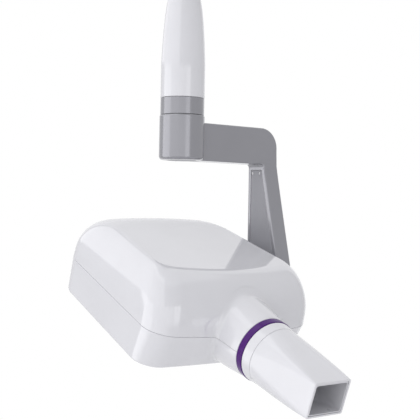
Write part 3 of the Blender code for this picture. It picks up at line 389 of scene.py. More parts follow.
steel = Finish("steel", (0.56, 0.56, 0.57), 0.3, Metallic=1.0)
rings = steel.noise(260.0, 1.0, (1.0, 1.0, 6.0))
steel.set("Roughness", rings * 0.16 + 0.22)
steel.tint(steel.step(steel.noise(35.0, 3.0), 0.45, 0.7), (0.47, 0.47, 0.49))
steel.bump(steel.noise(1400.0, 1.0), 0.004)


def softened(name, width, look, slot, body, node):
    """A merged copy of a node's mesh with its edges bevelled."""
    form = bmesh.new()
    form.from_mesh(nodes[node].data)
    bmesh.ops.remove_doubles(form, verts=form.verts, dist=0.000005)
    bmesh.ops.dissolve_limit(form, angle_limit=np.radians(1.0), verts=form.verts, edges=form.edges)
    mesh = bpy.data.meshes.new(name)
    form.to_mesh(mesh)
    form.free()
    made = piece(name, [mesh], look, slot, body, node)
    bevel = made.modifiers.new("edges", "BEVEL")
    bevel.width = width * MM
    bevel.segments = 2
    bevel.angle_limit = np.radians(50.0)
    return made


softened("mounting_flange_plate", 0.5, steel, "steel", "arm", "mounting_flange")

# ---------------------------------------------------------------- arm collar
# Grey painted collar under the sleeve: it clamps the tube and holds the lower swivel bush.

sheen = {"Metallic": 0.5, "Coat_Weight": 0.8, "Coat_Roughness": 0.04}
grey = moulded("grey_paint", (0.35, 0.35, 0.375), 0.2, 0.003, **sheen)
COLLAR_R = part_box("arm_collar")[1].x / MM
COLLAR_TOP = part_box("arm_collar")[1].z / MM
COLLAR_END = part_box("arm_collar")[0].z / MM
COLLAR_BORE_R = 13.0
collar_corners = [(COLLAR_BORE_R, COLLAR_TOP), (COLLAR_R, COLLAR_TOP),
                  (COLLAR_R, COLLAR_END), (COLLAR_BORE_R, COLLAR_END)]
collar_outline = rounded(collar_corners, (0, 0.5, 0.5, 0), 4)
piece("arm_collar_ring", [turned(collar_outline, "z", (0, 0, 0), closed=True)],
      grey, "grey_paint", "arm", "arm_collar")

# ---------------------------------------------------------------- yoke
# One aluminium casting, painted grey: the round knuckle that turns under the collar, the square bar
# and the plate that leans forward to the round end at the tilt axis.

TILT_AXIS = np.array(joints["tilt"]["pos_m"]) / MM
PIVOT_Y, PIVOT_Z = TILT_AXIS[1:]
KNUCKLE_R = 27.6
KNUCKLE_TOP = -160.7
BAR_TOP = -168.6
BAR_BOTTOM = -215.2
BAR_HALF = 15.5
BAR_START = 20.0
PLATE_IN = 118.1
PLATE_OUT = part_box("yoke_casting")[1].x / MM
PLATE_FLARE = 0.2412
PLATE_END_R = PIVOT_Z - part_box("yoke_casting")[0].z / MM
OUTER_BEND_R = 25.0
INNER_BEND_R = 5.0
EDGE_R = 2.4
COVER_TOP, COVER_END = -222.0, -334.0
COVER_MARGIN = 6.0
COVER_SEAT = 2.8
CAP_R = 18.0
CAP_SEAT_R = CAP_R + 0.3
CAP_SEAT = BAR_BOTTOM + 2.2

knuckle = rounded(
    [(0, CAP_SEAT), (CAP_SEAT_R, CAP_SEAT), (CAP_SEAT_R, BAR_BOTTOM),
     (KNUCKLE_R, BAR_BOTTOM), (KNUCKLE_R, KNUCKLE_TOP), (0, KNUCKLE_TOP)],
    (0, 0, 0.5, 4.5, 1.7, 0), 8)

# Stations down the L: a point on its inner line and one on its outer line, as (x, z), and whether
# the cover's seat is cut there.
t = np.linspace(0, 1, 7)[:-1]
bend = np.radians(np.linspace(0, 90, 15))
lines = []
for plate, bar_z, bend_r in ((PLATE_IN, BAR_BOTTOM, INNER_BEND_R), (PLATE_OUT, BAR_TOP, OUTER_BEND_R)):
    hub_x, hub_z = plate - bend_r, bar_z - bend_r
    bar = np.column_stack([BAR_START + (hub_x - BAR_START) * t, 0 * t + bar_z])
    lines.append([bar, np.column_stack([hub_x + bend_r * np.sin(bend), hub_z + bend_r * np.cos(bend)])])
inner_line, outer_line = lines
lean = np.arctan(PLATE_FLARE)
ROUND_START = PIVOT_Z + PLATE_END_R * np.sin(lean)
BEND_END = BAR_BOTTOM - INNER_BEND_R
SEAT_STATIONS = 9
down = np.concatenate([(BEND_END - 0.8, COVER_TOP), np.linspace(COVER_TOP, COVER_END, SEAT_STATIONS),
                       (COVER_END, COVER_END - 10.0, ROUND_START + 8.0, ROUND_START + 1.0)])

# The outer bend ends higher up than the inner one, and the two lines come level over this depth.
LEVEL_DEPTH = 60.0
blend_down = np.clip((BEND_END - down) / LEVEL_DEPTH, 0, 1)
outer_down = down + (1 - blend_down) * (BAR_TOP - OUTER_BEND_R - BEND_END)
inner_line.append(np.column_stack([0 * down + PLATE_IN, down]))
outer_line.append(np.column_stack([0 * down + PLATE_OUT, outer_down]))
inner_line = np.concatenate(inner_line)
outer_line = np.concatenate(outer_line)
seated = np.zeros(len(inner_line), bool)
first = len(inner_line) - len(down) + 2
seated[first:first + SEAT_STATIONS] = True

# The loop round each station: the distance from its inner or outer line, the inset from its front
# or rear edge, which line, and which edge.
quarter = np.radians(np.linspace(0, 90, 6))
bevel = np.column_stack([EDGE_R * (1 - np.sin(quarter)), EDGE_R * (1 - np.cos(quarter))])
BESIDE_EDGE = EDGE_R + 0.6
flat = [(0.0, BESIDE_EDGE), (0.0, COVER_MARGIN)]
pocket = [(COVER_SEAT, COVER_MARGIN)]
support = [(BESIDE_EDGE, 0.0)]
quarter_in = [*pocket, *flat[::-1], *bevel[::-1].tolist(), *support]
quarter_out = [*support, *bevel.tolist(), *flat[:1]]
loop = [(*p, 0, -1) for p in quarter_in] + [(*p, 1, -1) for p in quarter_out]
loop += [(*p, 1, 1) for p in quarter_out[::-1]] + [(*p, 0, 1) for p in quarter_in[::-1]]
depth, inset, from_outer, edge = (np.array(c, float) for c in zip(*loop))
is_pocket = depth == COVER_SEAT
LEAN_SOFTNESS = 6.0


def yoke_edge(z, inset, edge):
    """y of the front or rear edge: straight down the bar, then the front leans forward by
    flare * (b + sqrt(b^2 + softness^2)) / 2, where b is the depth below the bar."""
    below = BAR_BOTTOM - z
    lean_out = PLATE_FLARE * (below + np.sqrt(below**2 + LEAN_SOFTNESS**2)) / 2
    return np.where(edge < 0, -BAR_HALF - lean_out + inset, BAR_HALF - inset)


across = outer_line - inner_line
across = across / np.linalg.norm(across, axis=1, keepdims=True)
depths = np.where(is_pocket & ~seated[:, None], 0.0, depth)
base = np.where(from_outer[None, :, None] > 0, outer_line[:, None], inner_line[:, None])
sign = np.where(from_outer > 0, -1.0, 1.0)
xz = base + (sign * depths)[..., None] * across[:, None]
straight = np.stack([xz[..., 0], yoke_edge(xz[..., 1], inset, edge), xz[..., 1]], -1)

turn = np.linspace(-lean, np.pi / 2, 26)[:, None]
radius = PLATE_END_R - inset
round_y = np.where((edge > 0) & (turn < 0), BAR_HALF - inset, PIVOT_Y + edge * radius * np.cos(turn))
round_x = np.where(from_outer > 0, PLATE_OUT - depth, PLATE_IN + depth * ~is_pocket) + 0 * turn
rounded_end = np.stack([round_x, round_y, PIVOT_Z - radius * np.sin(turn)], -1)
limb = skin(np.concatenate([straight, rounded_end]), caps=True)

BOSS_R = 31.0
BOSS_FACE = 112.2
BOSS_BORE_R = 13.3
boss_corners = [(BOSS_R + 6, PLATE_IN + 0.3), (BOSS_R, PLATE_IN), (BOSS_R, BOSS_FACE),
                (BOSS_BORE_R, BOSS_FACE), (BOSS_BORE_R, PLATE_IN + 4)]
boss = rounded(boss_corners, (0, 2.0, 1.0, 0.4, 0), 5)
pivot = (0, PIVOT_Y, PIVOT_Z)
piece("yoke_body", [turned(knuckle, "z", (0, 0, 0)), limb, turned(boss, "x", pivot, closed=True)],
      grey, "grey_paint", "yoke", "yoke_casting")

# ---------------------------------------------------------------- yoke cover and caps
# Moulded grey plastic: the flat cover let into the plate over the cable, the plug under the knuckle
# and the shallow dome over the pivot's nut. All three snap in.

cover_grey = moulded("grey_plastic", (0.33, 0.33, 0.355), 0.33, 0.008)


def bored(mesh, *cutters):
    """A closed skin less closed cutters, worked out once; the helpers are removed."""
    body = bpy.data.objects.new("bored", mesh)
    helpers = [body]
    for cutter in cutters:
        helpers.append(bpy.data.objects.new("cutter", cutter))
        cut = body.modifiers.new("bore", "BOOLEAN")
        cut.object = helpers[-1]
    for helper in helpers:
        scene.collection.objects.link(helper)
    graph = bpy.context.evaluated_depsgraph_get()
    made = bpy.data.meshes.new_from_object(body.evaluated_get(graph))
    for helper in helpers:
        bpy.data.objects.remove(helper, do_unlink=True)
    return made


def slab(corners, corner_r, thickness, edge_r, spot):
    """A flat plate across X: a rounded outline, whose loops move in towards their arcs' centres.

    Loops run from the middle of one face out over its edge, through the thickness and back.
    """
    corners = np.array(corners, float)
    before = np.roll(corners, 1, 0) - corners
    after = np.roll(corners, -1, 0) - corners
    before /= np.linalg.norm(before, axis=1, keepdims=True)
    after /= np.linalg.norm(after, axis=1, keepdims=True)
    half = np.arccos((before * after).sum(1)) / 2
    middle_way = before + after
    middle_way /= np.linalg.norm(middle_way, axis=1, keepdims=True)
    centres = corners + middle_way * (corner_r / np.sin(half))[:, None]
    start = np.arctan2(-middle_way[:, 1], -middle_way[:, 0])
    swing = (np.pi / 2 - half)[:, None] * np.linspace(-1, 1, 7)
    turning = np.sign(before[0, 0] * after[0, 1] - before[0, 1] * after[0, 0])
    angles = start[:, None] - turning * swing
    ways = np.stack([np.cos(angles), np.sin(angles)], -1).reshape(-1, 2)
    hubs = np.repeat(centres, 7, 0)
    over = np.radians(np.linspace(90, 0, 5))
    insets = edge_r * (1 - np.cos(over))
    lifts = edge_r * (1 - np.sin(over))
    rows = [hubs + ways * (corner_r - i) for i in (*insets, *insets[::-1])]
    depths = [*lifts, *(thickness - lifts[::-1])]
    rim = hubs + ways * (corner_r - edge_r - 0.5)
    hub = np.repeat(centres.mean(0)[None], len(ways), 0)
    rows = [hub, rim, *rows, rim, hub]
    depths = [0.0, 0.0, *depths, thickness, thickness]
    return skin(np.stack([np.column_stack([0 * r[:, 0] + spot + d, r]) for r, d in zip(rows, depths)]))


COVER_GAP = 0.35
COVER_THICK = 2.5
COVER_SCREW_SPOTS = ((6.5, -226.5), (-7.5, -226.5), (6.5, -329.0), (-31.0, -329.0))
COVER_SCREW_R = 1.9
CHAMFER = 0.3
CUT_PAST = 5.0


def cover_front(z):
    """y of the cover's front edge, a margin inside the plate's front edge."""
    return float(yoke_edge(z, COVER_MARGIN + COVER_GAP, -1))


cover_rear = BAR_HALF - COVER_MARGIN - COVER_GAP
cover_corners = [(cover_rear, COVER_TOP - COVER_GAP), (cover_front(COVER_TOP), COVER_TOP - COVER_GAP),
                 (cover_front(COVER_END), COVER_END + COVER_GAP), (cover_rear, COVER_END + COVER_GAP)]
screw_hole = [(0, PLATE_IN - CUT_PAST), (COVER_SCREW_R + CHAMFER, PLATE_IN - CUT_PAST),
              (COVER_SCREW_R + CHAMFER, PLATE_IN), (COVER_SCREW_R, PLATE_IN + CHAMFER),
              (COVER_SCREW_R, PLATE_IN + CUT_PAST), (0, PLATE_IN + CUT_PAST)]
cover_holes = [turned(screw_hole, "x", (0, y, z), 32) for y, z in COVER_SCREW_SPOTS]
cover = bored(slab(cover_corners, 1.2, COVER_THICK, 0.5, PLATE_IN), *cover_holes)
piece("yoke_cover_plate", [cover], cover_grey, "grey_plastic", "yoke", "yoke_cover")

PLUG_FACE, PLUG_BACK = BAR_BOTTOM + 0.2, BAR_BOTTOM + 3
plug_corners = [(0, PLUG_FACE), (CAP_R, PLUG_FACE), (CAP_R, PLUG_BACK), (0, PLUG_BACK)]
plug = rounded(plug_corners, (0, 0.8, 0.3, 0), 4)
piece("knuckle_plug", [turned(plug, "z", (0, 0, 0))], cover_grey, "grey_plastic", "yoke", "knuckle_cap")

DOME_R = 25.0
DOME_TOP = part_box("pivot_cap")[1].x / MM
DOME_SEAT = PLATE_OUT + 0.2
dome_corners = [(0, DOME_TOP), (DOME_R - 3, DOME_TOP - 0.8), (DOME_R, DOME_SEAT), (0, DOME_SEAT)]
dome = rounded(dome_corners, (0, 7.0, 0.3, 0), 10)
piece("pivot_dome", [turned(dome, "x", pivot)], cover_grey, "grey_plastic", "yoke", "pivot_cap")

# ---------------------------------------------------------------- head shells
# Two glossy white mouldings that meet on a level parting line round the body, the neck and the
# pivot's boss, held by four screws from below. The plan tapers backwards; the top is a long crown.

HEAD_HALF, HEAD_TAPER = 112.0, 10.2
HEAD_FRONT, FRONT_BULGE, FRONT_CORNER_R = 103.5, 14.5, 33.0
HEAD_REAR, REAR_BULGE, REAR_CORNER_R = 130.4, 10.2, 41.0
PART_LEVEL, TOP_LEVEL, BOTTOM_LEVEL = -1.0, 59.9, -45.0
CROWN = 50.0
FOOT_R = 3.5
WALL = 3.0
PART_GAP = 0.4
PART_EDGE = 0.35

# How far the sides, the front and the rear draw in: up the wall, over the crown, down to the foot;
# and by how much the front flattens and the corners tighten.
DRAW_UP = (3.3, 4.1, 2.6)
DRAW_OVER = (21.0, 41.0, 64.0)
DRAW_DOWN = (1.0, 7.8, 4.2)
FLATTEN_DOWN = 11.0
TIGHTEN_OVER, TIGHTEN_DOWN = 12.0, 6.0

beam_axis = np.array(joints["cone_turn"]["axis"])
across_axis = np.array((1.0, 0.0, 0.0))
up_axis = np.cross(across_axis, -beam_axis)
HEAD_FRAME = np.stack([across_axis, -beam_axis, up_axis])
HEAD_ORIGIN = np.array((0.0, PIVOT_Y, PIVOT_Z))


def tilted(mesh):
    """Carries a skin from head coordinates to its place."""
    turn = Matrix(HEAD_FRAME.T).to_4x4()
    mesh.transform(Matrix.Translation(HEAD_ORIGIN * MM) @ turn)
    return mesh


def head_sizes(z):
    """Half width, front, rear, front bulge and corner radii of the body at each level.

    Above the parting line the walls lean in evenly, then by 1 - sqrt(1 - s^2) over the crown; below
    it they lean in evenly to the foot's small radius.
    """
    z = np.asarray(z, float)
    up = np.clip((z - PART_LEVEL) / (TOP_LEVEL - PART_LEVEL), 0, 1)
    over = np.clip((z - TOP_LEVEL + CROWN) / CROWN, 0, 1)
    over = 1 - np.sqrt(1 - over**2)
    fall = np.clip((PART_LEVEL - z) / (PART_LEVEL - BOTTOM_LEVEL), 0, 1)
    foot = np.clip(BOTTOM_LEVEL + FOOT_R - z, 0, FOOT_R)
    foot = FOOT_R - np.sqrt(FOOT_R**2 - foot**2)
    draws = zip((HEAD_HALF, HEAD_FRONT, HEAD_REAR), DRAW_UP, DRAW_OVER, DRAW_DOWN)
    half, front, rear = (size - u * up - v * over - w * fall - foot for size, u, v, w in draws)
    bulge = FRONT_BULGE - FLATTEN_DOWN * fall
    corner = TIGHTEN_OVER * over + TIGHTEN_DOWN * fall
    return half, front, rear, bulge, FRONT_CORNER_R - corner, REAR_CORNER_R - corner


def corner_arc(width, reach, bulge, radius):
    """Where a corner's arc leaves the bulged end, the arc's centre, and the angle it starts at."""
    x = width - radius
    for _ in range(5):
        slope = np.arctan(2 * bulge * x / width**2)
        x = width - radius + radius * np.sin(slope)
    depth = reach + bulge * (1 - (x / width) ** 2)
    return x, (width - radius, depth - radius * np.cos(slope)), np.pi / 2 - slope


def plan(half, front, rear, bulge, front_r, rear_r, inset):
    """Points round the body at each level: a parabola across the front, an arc that touches it and
    the side, the straight side, which leans in backwards, an arc and the rear's parabola; then the
    same mirrored. An inset moves every point in along the outline's normal."""
    narrow = half - HEAD_TAPER
    front_x, (fx, fy), front_start = corner_arc(half, front, bulge, front_r)
    rear_x, (rx, ry), rear_start = corner_arc(narrow, rear, REAR_BULGE, rear_r)
    span = np.hypot(fx - rx, fy + ry)
    side = np.arctan2(-fy - ry, fx - rx) + np.arccos((rear_r - front_r) / span)

    def steps(start, end, count):
        return start + (end - start) * np.linspace(0, 1, count)

    x = steps(0 * front_x, front_x, 12)
    runs = [(x, -front - bulge * (1 - (x / half) ** 2), np.arctan(2 * bulge * x / half**2) - np.pi / 2)]
    angle = steps(front_start, -side, 16)[..., 1:]
    runs.append((fx + front_r * np.cos(angle), -fy - front_r * np.sin(angle), -angle))
    end_x, end_y = runs[-1][0][..., -1:], runs[-1][1][..., -1:]
    angle = steps(side, rear_start, 18)
    arc = (rx + rear_r * np.cos(angle), ry + rear_r * np.sin(angle), angle)
    share = np.linspace(0, 1, 12)[1:-1]
    runs.append((end_x + (arc[0][..., :1] - end_x) * share, end_y + (arc[1][..., :1] - end_y) * share,
                 side + 0 * share))
    runs.append(arc)
    x = steps(rear_x, 0 * rear_x, 12)[..., 1:]
    slope = np.arctan(2 * REAR_BULGE * x / narrow**2)
    runs.append((x, rear + REAR_BULGE * (1 - (x / narrow) ** 2), np.pi / 2 - slope))
    x, y, facing = (np.concatenate([run[k] for run in runs], -1) for k in range(3))
    x, y = x - inset * np.cos(facing), y - inset * np.sin(facing)
    return np.concatenate([x, -x[..., -2:0:-1]], -1), np.concatenate([y, y[..., -2:0:-1]], -1)


def body_rows(levels, insets):
    """Loops of the body at these levels, drawn in by these insets."""
    levels = np.array(levels, float)[:, None]
    sizes = [size + 0 * levels for size in head_sizes(levels)]
    x, y = plan(*sizes, np.array(insets, float)[:, None] + 0 * levels)
    return np.stack([x, y, levels + 0 * x], -1)


def closing_rows(loop, shares):
    """The loop drawn in to its middle by shares, to close a flat face."""
    centre = loop.mean(0)
    return centre + (loop - centre) * np.array(shares, float)[:, None, None]


def body_half(base, wall_levels, end_level):
    """One shell of the body, from the middle of its inner face over the rim to its outer middle."""
    away = np.sign(end_level - base)
    over = np.radians((90, 60, 30, 0))
    rim = body_rows(base + away * PART_EDGE * (1 - np.sin(over)), PART_EDGE * (1 - np.cos(over)))
    outer = body_rows(wall_levels, np.zeros(len(wall_levels)))
    close = (0.995, 0.9, 0.7, 0.4, 0.0)
    within = base + (end_level - away * WALL - base) * np.linspace(1, 0, 8)
    inner = body_rows(within, np.full(8, WALL))
    inner = np.concatenate([closing_rows(inner[0], (0.0, 0.6)), inner])
    whole = np.concatenate([inner, rim, outer, closing_rows(outer[-1], close)])
    return skin(whole)


def front_depth(x, z):
    """How far forward the body's front wall stands at a point across it."""
    half, front, _, bulge, _, _ = head_sizes(z)
    return front + bulge * (1 - (x / half) ** 2)


def side_depth(y, z):
    """How far out the body's straight side stands at a point along it."""
    half, front, rear, bulge, front_r, rear_r = head_sizes(z)
    _, (fx, fy), _ = corner_arc(half, front, bulge, front_r)
    _, (rx, ry), _ = corner_arc(half - HEAD_TAPER, rear, REAR_BULGE, rear_r)
    side = np.arctan2(-fy - ry, fx - rx) + np.arccos((rear_r - front_r) / np.hypot(fx - rx, fy + ry))
    return fx + (front_r - np.sin(side) * (y + fy)) / np.cos(side)


def half_tube(size, wall_at, end, end_edge, bore, root_r, base, upper, count=72):
    """Half of a tube that grows out of the body, as (across, along, up).

    Each angle's line starts on the body's wall, takes a curve B = (1-t)^2 P0 + 2t(1-t) P1 + t^2 P2
    round the root, then follows the tube's size to its rounded end, turns in and runs back.
    """
    share = np.linspace(0, 1, count)

    def angles(height):
        start = np.arcsin(base / height)
        return start + share * (np.pi - 2 * start) if upper else start - share * (np.pi + 2 * start)

    def at(along, grow):
        wide, tall = size(along)
        a = angles(tall.mean() + grow.mean())
        return np.stack([(wide + grow) * np.cos(a), along + 0 * a, (tall + grow) * np.sin(a)], -1)

    along = np.full(count, end - 30.0)
    zero = np.zeros(count)
    for _ in range(12):
        spot = at(along, zero)
        along = wall_at(spot[:, 0], spot[:, 2])
    root = np.clip(root_r(spot[:, 2]), 0.2, None)
    outer = at(along, root)
    outer[:, 1] = wall_at(outer[:, 0], outer[:, 2])
    corner = at(along, zero)
    beyond = at(along + root, zero)
    tuck = at(along, root + 1.5)
    tuck[:, 1] = outer[:, 1] - 1.0
    s = np.linspace(0, 1, 9)[:, None, None]
    rows = [tuck[None], (1 - s) ** 2 * outer + 2 * s * (1 - s) * corner + s**2 * beyond]
    for s in np.linspace(0, 1, 9)[1:]:
        rows.append(at(along + root + (end - end_edge - along - root) * s, zero)[None])
    for a in np.radians((30, 60, 90)):
        rows.append(at(zero + end - end_edge * (1 - np.sin(a)), zero - end_edge * (1 - np.cos(a)))[None])
    wide = size(np.array(end))[0]
    rows.append(at(zero + end, zero + bore - wide)[None])
    rows.append(at(along + 1.0, zero + bore - wide)[None])
    return np.concatenate(rows)


NECK_END = 150.8
NECK_BORE_R = 32.6
NECK_ROOT_R = 6.0
NECK_ROOT_LOW = 42.0
SIDE_BOSS_R = 33.0
SIDE_BOSS_END = 110.2
HUB_HOLE_R = 20.3
BOSS_ROOT_R = 1.5
NECK_STATIONS = (100.0, 134.0, NECK_END)
NECK_HALF_WIDTHS = (39.0, 37.6, 36.0)
NECK_HALF_HEIGHTS = (43.0, 39.0, 36.0)
neck_wide = np.polyfit(NECK_STATIONS, NECK_HALF_WIDTHS, 2)
neck_tall = np.polyfit(NECK_STATIONS, NECK_HALF_HEIGHTS, 2)
spring = TOP_LEVEL - CROWN
crown_levels = spring + CROWN * np.sin(np.radians(np.linspace(0, 90, 34)))
upper_base = PART_LEVEL + PART_GAP / 2
lower_base = PART_LEVEL - PART_GAP / 2
upper_levels = [upper_base + PART_EDGE + 0.1, 2.0, 5.0, *crown_levels]
foot_levels = BOTTOM_LEVEL + FOOT_R * (1 - np.sin(np.radians(np.linspace(0, 90, 9))))
lower_levels = [lower_base - PART_EDGE - 0.1, -6.0, -14.0, -22.0, -30.0, -37.0, -41.0, *foot_levels]


def neck_half(base, upper):
    """Half of the neck, an oval at the body that becomes round at the ring."""
    rows = half_tube(
        lambda d: (np.polyval(neck_wide, d), np.polyval(neck_tall, d)),
        front_depth, NECK_END, 0.5, NECK_BORE_R,
        lambda z: NECK_ROOT_R + 0 * z if upper else np.minimum(NECK_ROOT_R, NECK_ROOT_LOW - np.abs(z)),
        base, upper)
    return skin(rows * (1, -1, 1), around=False, closed=True, caps=True)


def boss_half(base, upper):
    """Half of the low round boss on the body's right side, open for the pivot's hub."""
    rows = half_tube(
        lambda d: (SIDE_BOSS_R + 0 * d, SIDE_BOSS_R + 0 * d), side_depth, SIDE_BOSS_END, 0.8, HUB_HOLE_R,
        lambda z: BOSS_ROOT_R + 0 * z, base, upper)
    return skin(rows[..., [1, 0, 2]], around=False, closed=True, caps=True)


# Each shell screw's recess goes through the floor and on up into a pillar.
SCREW_SPOTS = ((-88.0, -84.0), (88.0, -84.0), (-75.0, 103.0), (75.0, 103.0))
RECESS_R = 4.6
RECESS_EDGE = 0.5
RECESS_END = -35.0
SHANK_HOLE_R = 2.0
PILLAR_R = 6.0
PILLAR_ROOT = BOTTOM_LEVEL + WALL - 0.2
PILLAR_TOP = lower_base - 0.5
recess = [(0, BOTTOM_LEVEL - CUT_PAST), (RECESS_R + RECESS_EDGE, BOTTOM_LEVEL - CUT_PAST),
          (RECESS_R + RECESS_EDGE, BOTTOM_LEVEL), (RECESS_R, BOTTOM_LEVEL + RECESS_EDGE),
          (RECESS_R, RECESS_END), (0, RECESS_END)]
pillar = [(RECESS_R, PILLAR_ROOT), (PILLAR_R, PILLAR_ROOT), (PILLAR_R, PILLAR_TOP),
          (SHANK_HOLE_R, PILLAR_TOP), (SHANK_HOLE_R, RECESS_END), (RECESS_R, RECESS_END)]
shells = (("upper", upper_base, upper_levels, TOP_LEVEL), ("lower", lower_base, lower_levels, BOTTOM_LEVEL))
for name, base, levels, end in shells:
    upper = name == "upper"
    skins = [body_half(base, levels, end), neck_half(base, upper), boss_half(base, upper)]
    if not upper:
        skins[0] = bored(skins[0], *(turned(recess, "z", (x, y, 0), 48) for x, y in SCREW_SPOTS))
        skins += [turned(pillar, "z", (x, y, 0), 48, closed=True) for x, y in SCREW_SPOTS]
    piece(f"{name}_housing", [tilted(s) for s in skins], white, "white_plastic", "head", f"{name}_shell")

# ---------------------------------------------------------------- neck ring and cone
# A purple trim ring, the white collar that turns in the neck, the limiter that runs from round to
# a rectangular mouth, and its thin grey lining.

purple = moulded("purple_plastic", (0.075, 0.010, 0.17), 0.15, 0.003, IOR=1.33)
RING_R = 36.0
RING_BORE_R = 30.5
RING_REAR, RING_FRONT = 151.1, 159.4
CONE_GROOVE = 172.1
CONE_R = 33.9
CONE_END = 259.4
MOUTH_W, MOUTH_H = 49.0, 39.0
MOUTH_POWER = 0.077
CORNER_FADE = 1.1
CONE_SIDES = 160
CONE_WALL = 2.0


def on_beam(profile):
    """A profile turned about the beam, its heights being distances forward of the tilt axis."""
    return tilted(turned(profile, "beam", (0, 0, 0), closed=True))


ring_corners = [(RING_BORE_R, RING_REAR), (RING_R, RING_REAR),
                (RING_R, RING_FRONT), (RING_BORE_R, RING_FRONT)]
ring = rounded(ring_corners, (0, 0.6, 0.6, 0), 4)
piece("trim_ring", [on_beam(ring)], purple, "purple_plastic", "head", "neck_ring")

SPIGOT_BORE_R = 24.0
SEAM_R = CONE_R - 1.2
collar_rear = RING_FRONT + 0.3
collar_corners = [(SPIGOT_BORE_R, collar_rear), (RING_R - 0.5, collar_rear),
                  (CONE_R + 0.15, CONE_GROOVE - 0.25), (SEAM_R, CONE_GROOVE - 0.2),
                  (SEAM_R, CONE_GROOVE), (SPIGOT_BORE_R, CONE_GROOVE)]
collar = rounded(collar_corners, (0, 0.9, 0.3, 0, 0, 0), 5)
piece("turning_collar", [on_beam(collar)], white, "white_plastic", "cone", "cone_collar")


def cone_rows(shares, insets):
    """Loops |u / w| ^ n + |v / h| ^ n = 1, from round to rectangular: w and h run evenly from the
    root's radius to the mouth's halves, and 2 / n falls from 1 by (1 - share) ^ 1.1."""
    share = np.array(shares, float)[:, None]
    inset = np.array(insets, float)[:, None]
    turn = 2 * np.pi * (np.arange(CONE_SIDES) + 0.5) / CONE_SIDES
    power = MOUTH_POWER + (1 - MOUTH_POWER) * (1 - share) ** CORNER_FADE
    wide = CONE_R + share * (MOUTH_W / 2 - CONE_R) - inset
    tall = CONE_R + share * (MOUTH_H / 2 - CONE_R) - inset
    u = wide * np.sign(np.cos(turn)) * np.abs(np.cos(turn)) ** power
    v = tall * np.sign(np.sin(turn)) * np.abs(np.sin(turn)) ** power
    along = CONE_GROOVE + share * (CONE_END - CONE_GROOVE)
    return np.stack([u, 0 * u - along, v], -1)


LIP_R = 0.5
ROOT_SHARE = 0.003
cone_length = CONE_END - CONE_GROOVE
lip = np.radians((0, 30, 60, 90))
lip_shares = 1 - LIP_R * (1 - np.sin(lip)) / cone_length
lip_insets = LIP_R * (1 - np.cos(lip))
before_lip = 1 - 2 * LIP_R / cone_length
shares = np.concatenate([np.linspace(ROOT_SHARE, before_lip, 26), lip_shares,
                         lip_shares[::-1], np.linspace(before_lip, ROOT_SHARE, 12)])
insets = np.concatenate([np.zeros(26), lip_insets, CONE_WALL - lip_insets[::-1], np.full(12, CONE_WALL)])
piece("cone_tube", [tilted(skin(cone_rows(shares, insets), closed=True))],
      white, "white_plastic", "cone", "cone_shell", sharp=60.0)

lining = moulded("liner_grey", (0.74, 0.74, 0.77), 0.3, 0.006)
LINING_ROOT = 0.01
LINING_GAP, LINING_WALL = 0.5, 1.0
lining_end = 1 - 0.8 / cone_length
shares = np.concatenate([np.linspace(LINING_ROOT, lining_end, 20), np.linspace(lining_end, LINING_ROOT, 8)])
insets = CONE_WALL + LINING_GAP + np.repeat([0.0, LINING_WALL], [20, 8])
piece("cone_lining", [tilted(skin(cone_rows(shares, insets), closed=True))],
      lining, "liner_grey", "cone", "cone_liner", sharp=60.0)

# ---------------------------------------------------------------- parts that stay as they are
# Fasteners, bushes, cables and what the tank holds keep their own shapes and get their finishes.

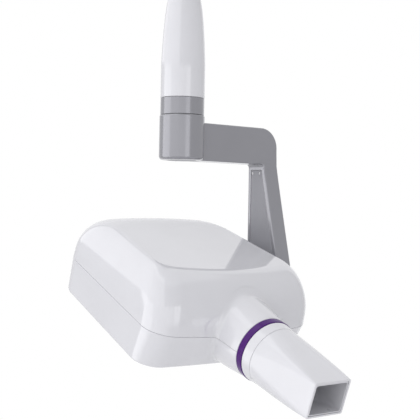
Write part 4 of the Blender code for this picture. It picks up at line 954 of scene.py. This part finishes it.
aluminium = Finish("cast_aluminium", (0.6, 0.6, 0.61), 0.45, Metallic=1.0)
aluminium.set("Roughness", aluminium.noise(300.0, 3.0) * 0.3 + 0.3)
aluminium.bump(aluminium.noise(700.0, 3.0), 0.03)
bronze = Finish("bronze", (0.5, 0.33, 0.16), 0.4, Metallic=1.0)
bronze.tint(bronze.step(bronze.noise(500.0, 2.0), 0.5, 0.65), (0.36, 0.23, 0.11))
brass = Finish("brass", (0.65, 0.5, 0.22), 0.35, Metallic=1.0)
brass.set("Roughness", brass.noise(240.0) * 0.2 + 0.25)
copper = Finish("copper", (0.72, 0.36, 0.24), 0.3, Metallic=1.0)
copper.set("Roughness", copper.noise(240.0) * 0.2 + 0.2)
lead = Finish("lead", (0.3, 0.31, 0.33), 0.5, Metallic=0.9)
lead.bump(lead.noise(200.0, 3.0), 0.05)
core = Finish("core_steel", (0.2, 0.2, 0.21), 0.5, Metallic=0.8)
core.bump(core.noise(60.0, 0.0, (1.0, 1.0, 30.0)), 0.05)
winding = Finish("varnished_winding", (0.35, 0.16, 0.06), 0.35)
winding.bump(winding.noise(60.0, 0.0, (1.0, 40.0, 1.0)), 0.08)
board = moulded("circuit_board", (0.03, 0.16, 0.07), 0.35, 0.004)
nylon = moulded("nylon", (0.75, 0.74, 0.7), 0.5, 0.004)
fibre = Finish("friction_fibre", (0.16, 0.13, 0.1), 0.8)
fibre.tint(fibre.step(fibre.noise(1500.0, 2.0), 0.5, 0.6), (0.3, 0.22, 0.12))
rubber = moulded("black_rubber", (0.03, 0.03, 0.03), 0.6, 0.01)
jacket = moulded("cable_jacket", (0.25, 0.25, 0.27), 0.5, 0.006)
glass = Finish("tube_glass", (0.8, 0.85, 0.85), 0.06, Alpha=0.35)
glass.set("Roughness", glass.noise(90.0) * 0.06 + 0.03)
clear = Finish("clear_plastic", (0.8, 0.8, 0.75), 0.12, Alpha=0.5)
clear.set("Roughness", clear.noise(90.0) * 0.08 + 0.08)
looks = {
    "white_plastic": white, "grey_paint": grey, "grey_plastic": cover_grey, "purple_plastic": purple,
    "liner_grey": lining, "steel": steel, "cast_aluminium": aluminium, "bronze": bronze, "brass": brass,
    "copper": copper, "lead": lead, "core_steel": core, "varnished_winding": winding, "nylon": nylon,
    "circuit_board": board, "friction_fibre": fibre, "black_rubber": rubber, "cable_jacket": jacket,
    "tube_glass": glass, "clear_plastic": clear,
}
for part in frame["record"]["subparts"]:
    node = nodes[part["node"]]
    if not node.hide_render:
        node.data.materials.clear()
        node.data.materials.append(looks[part["material_slot"]].material)

bpy.context.view_layer.update()
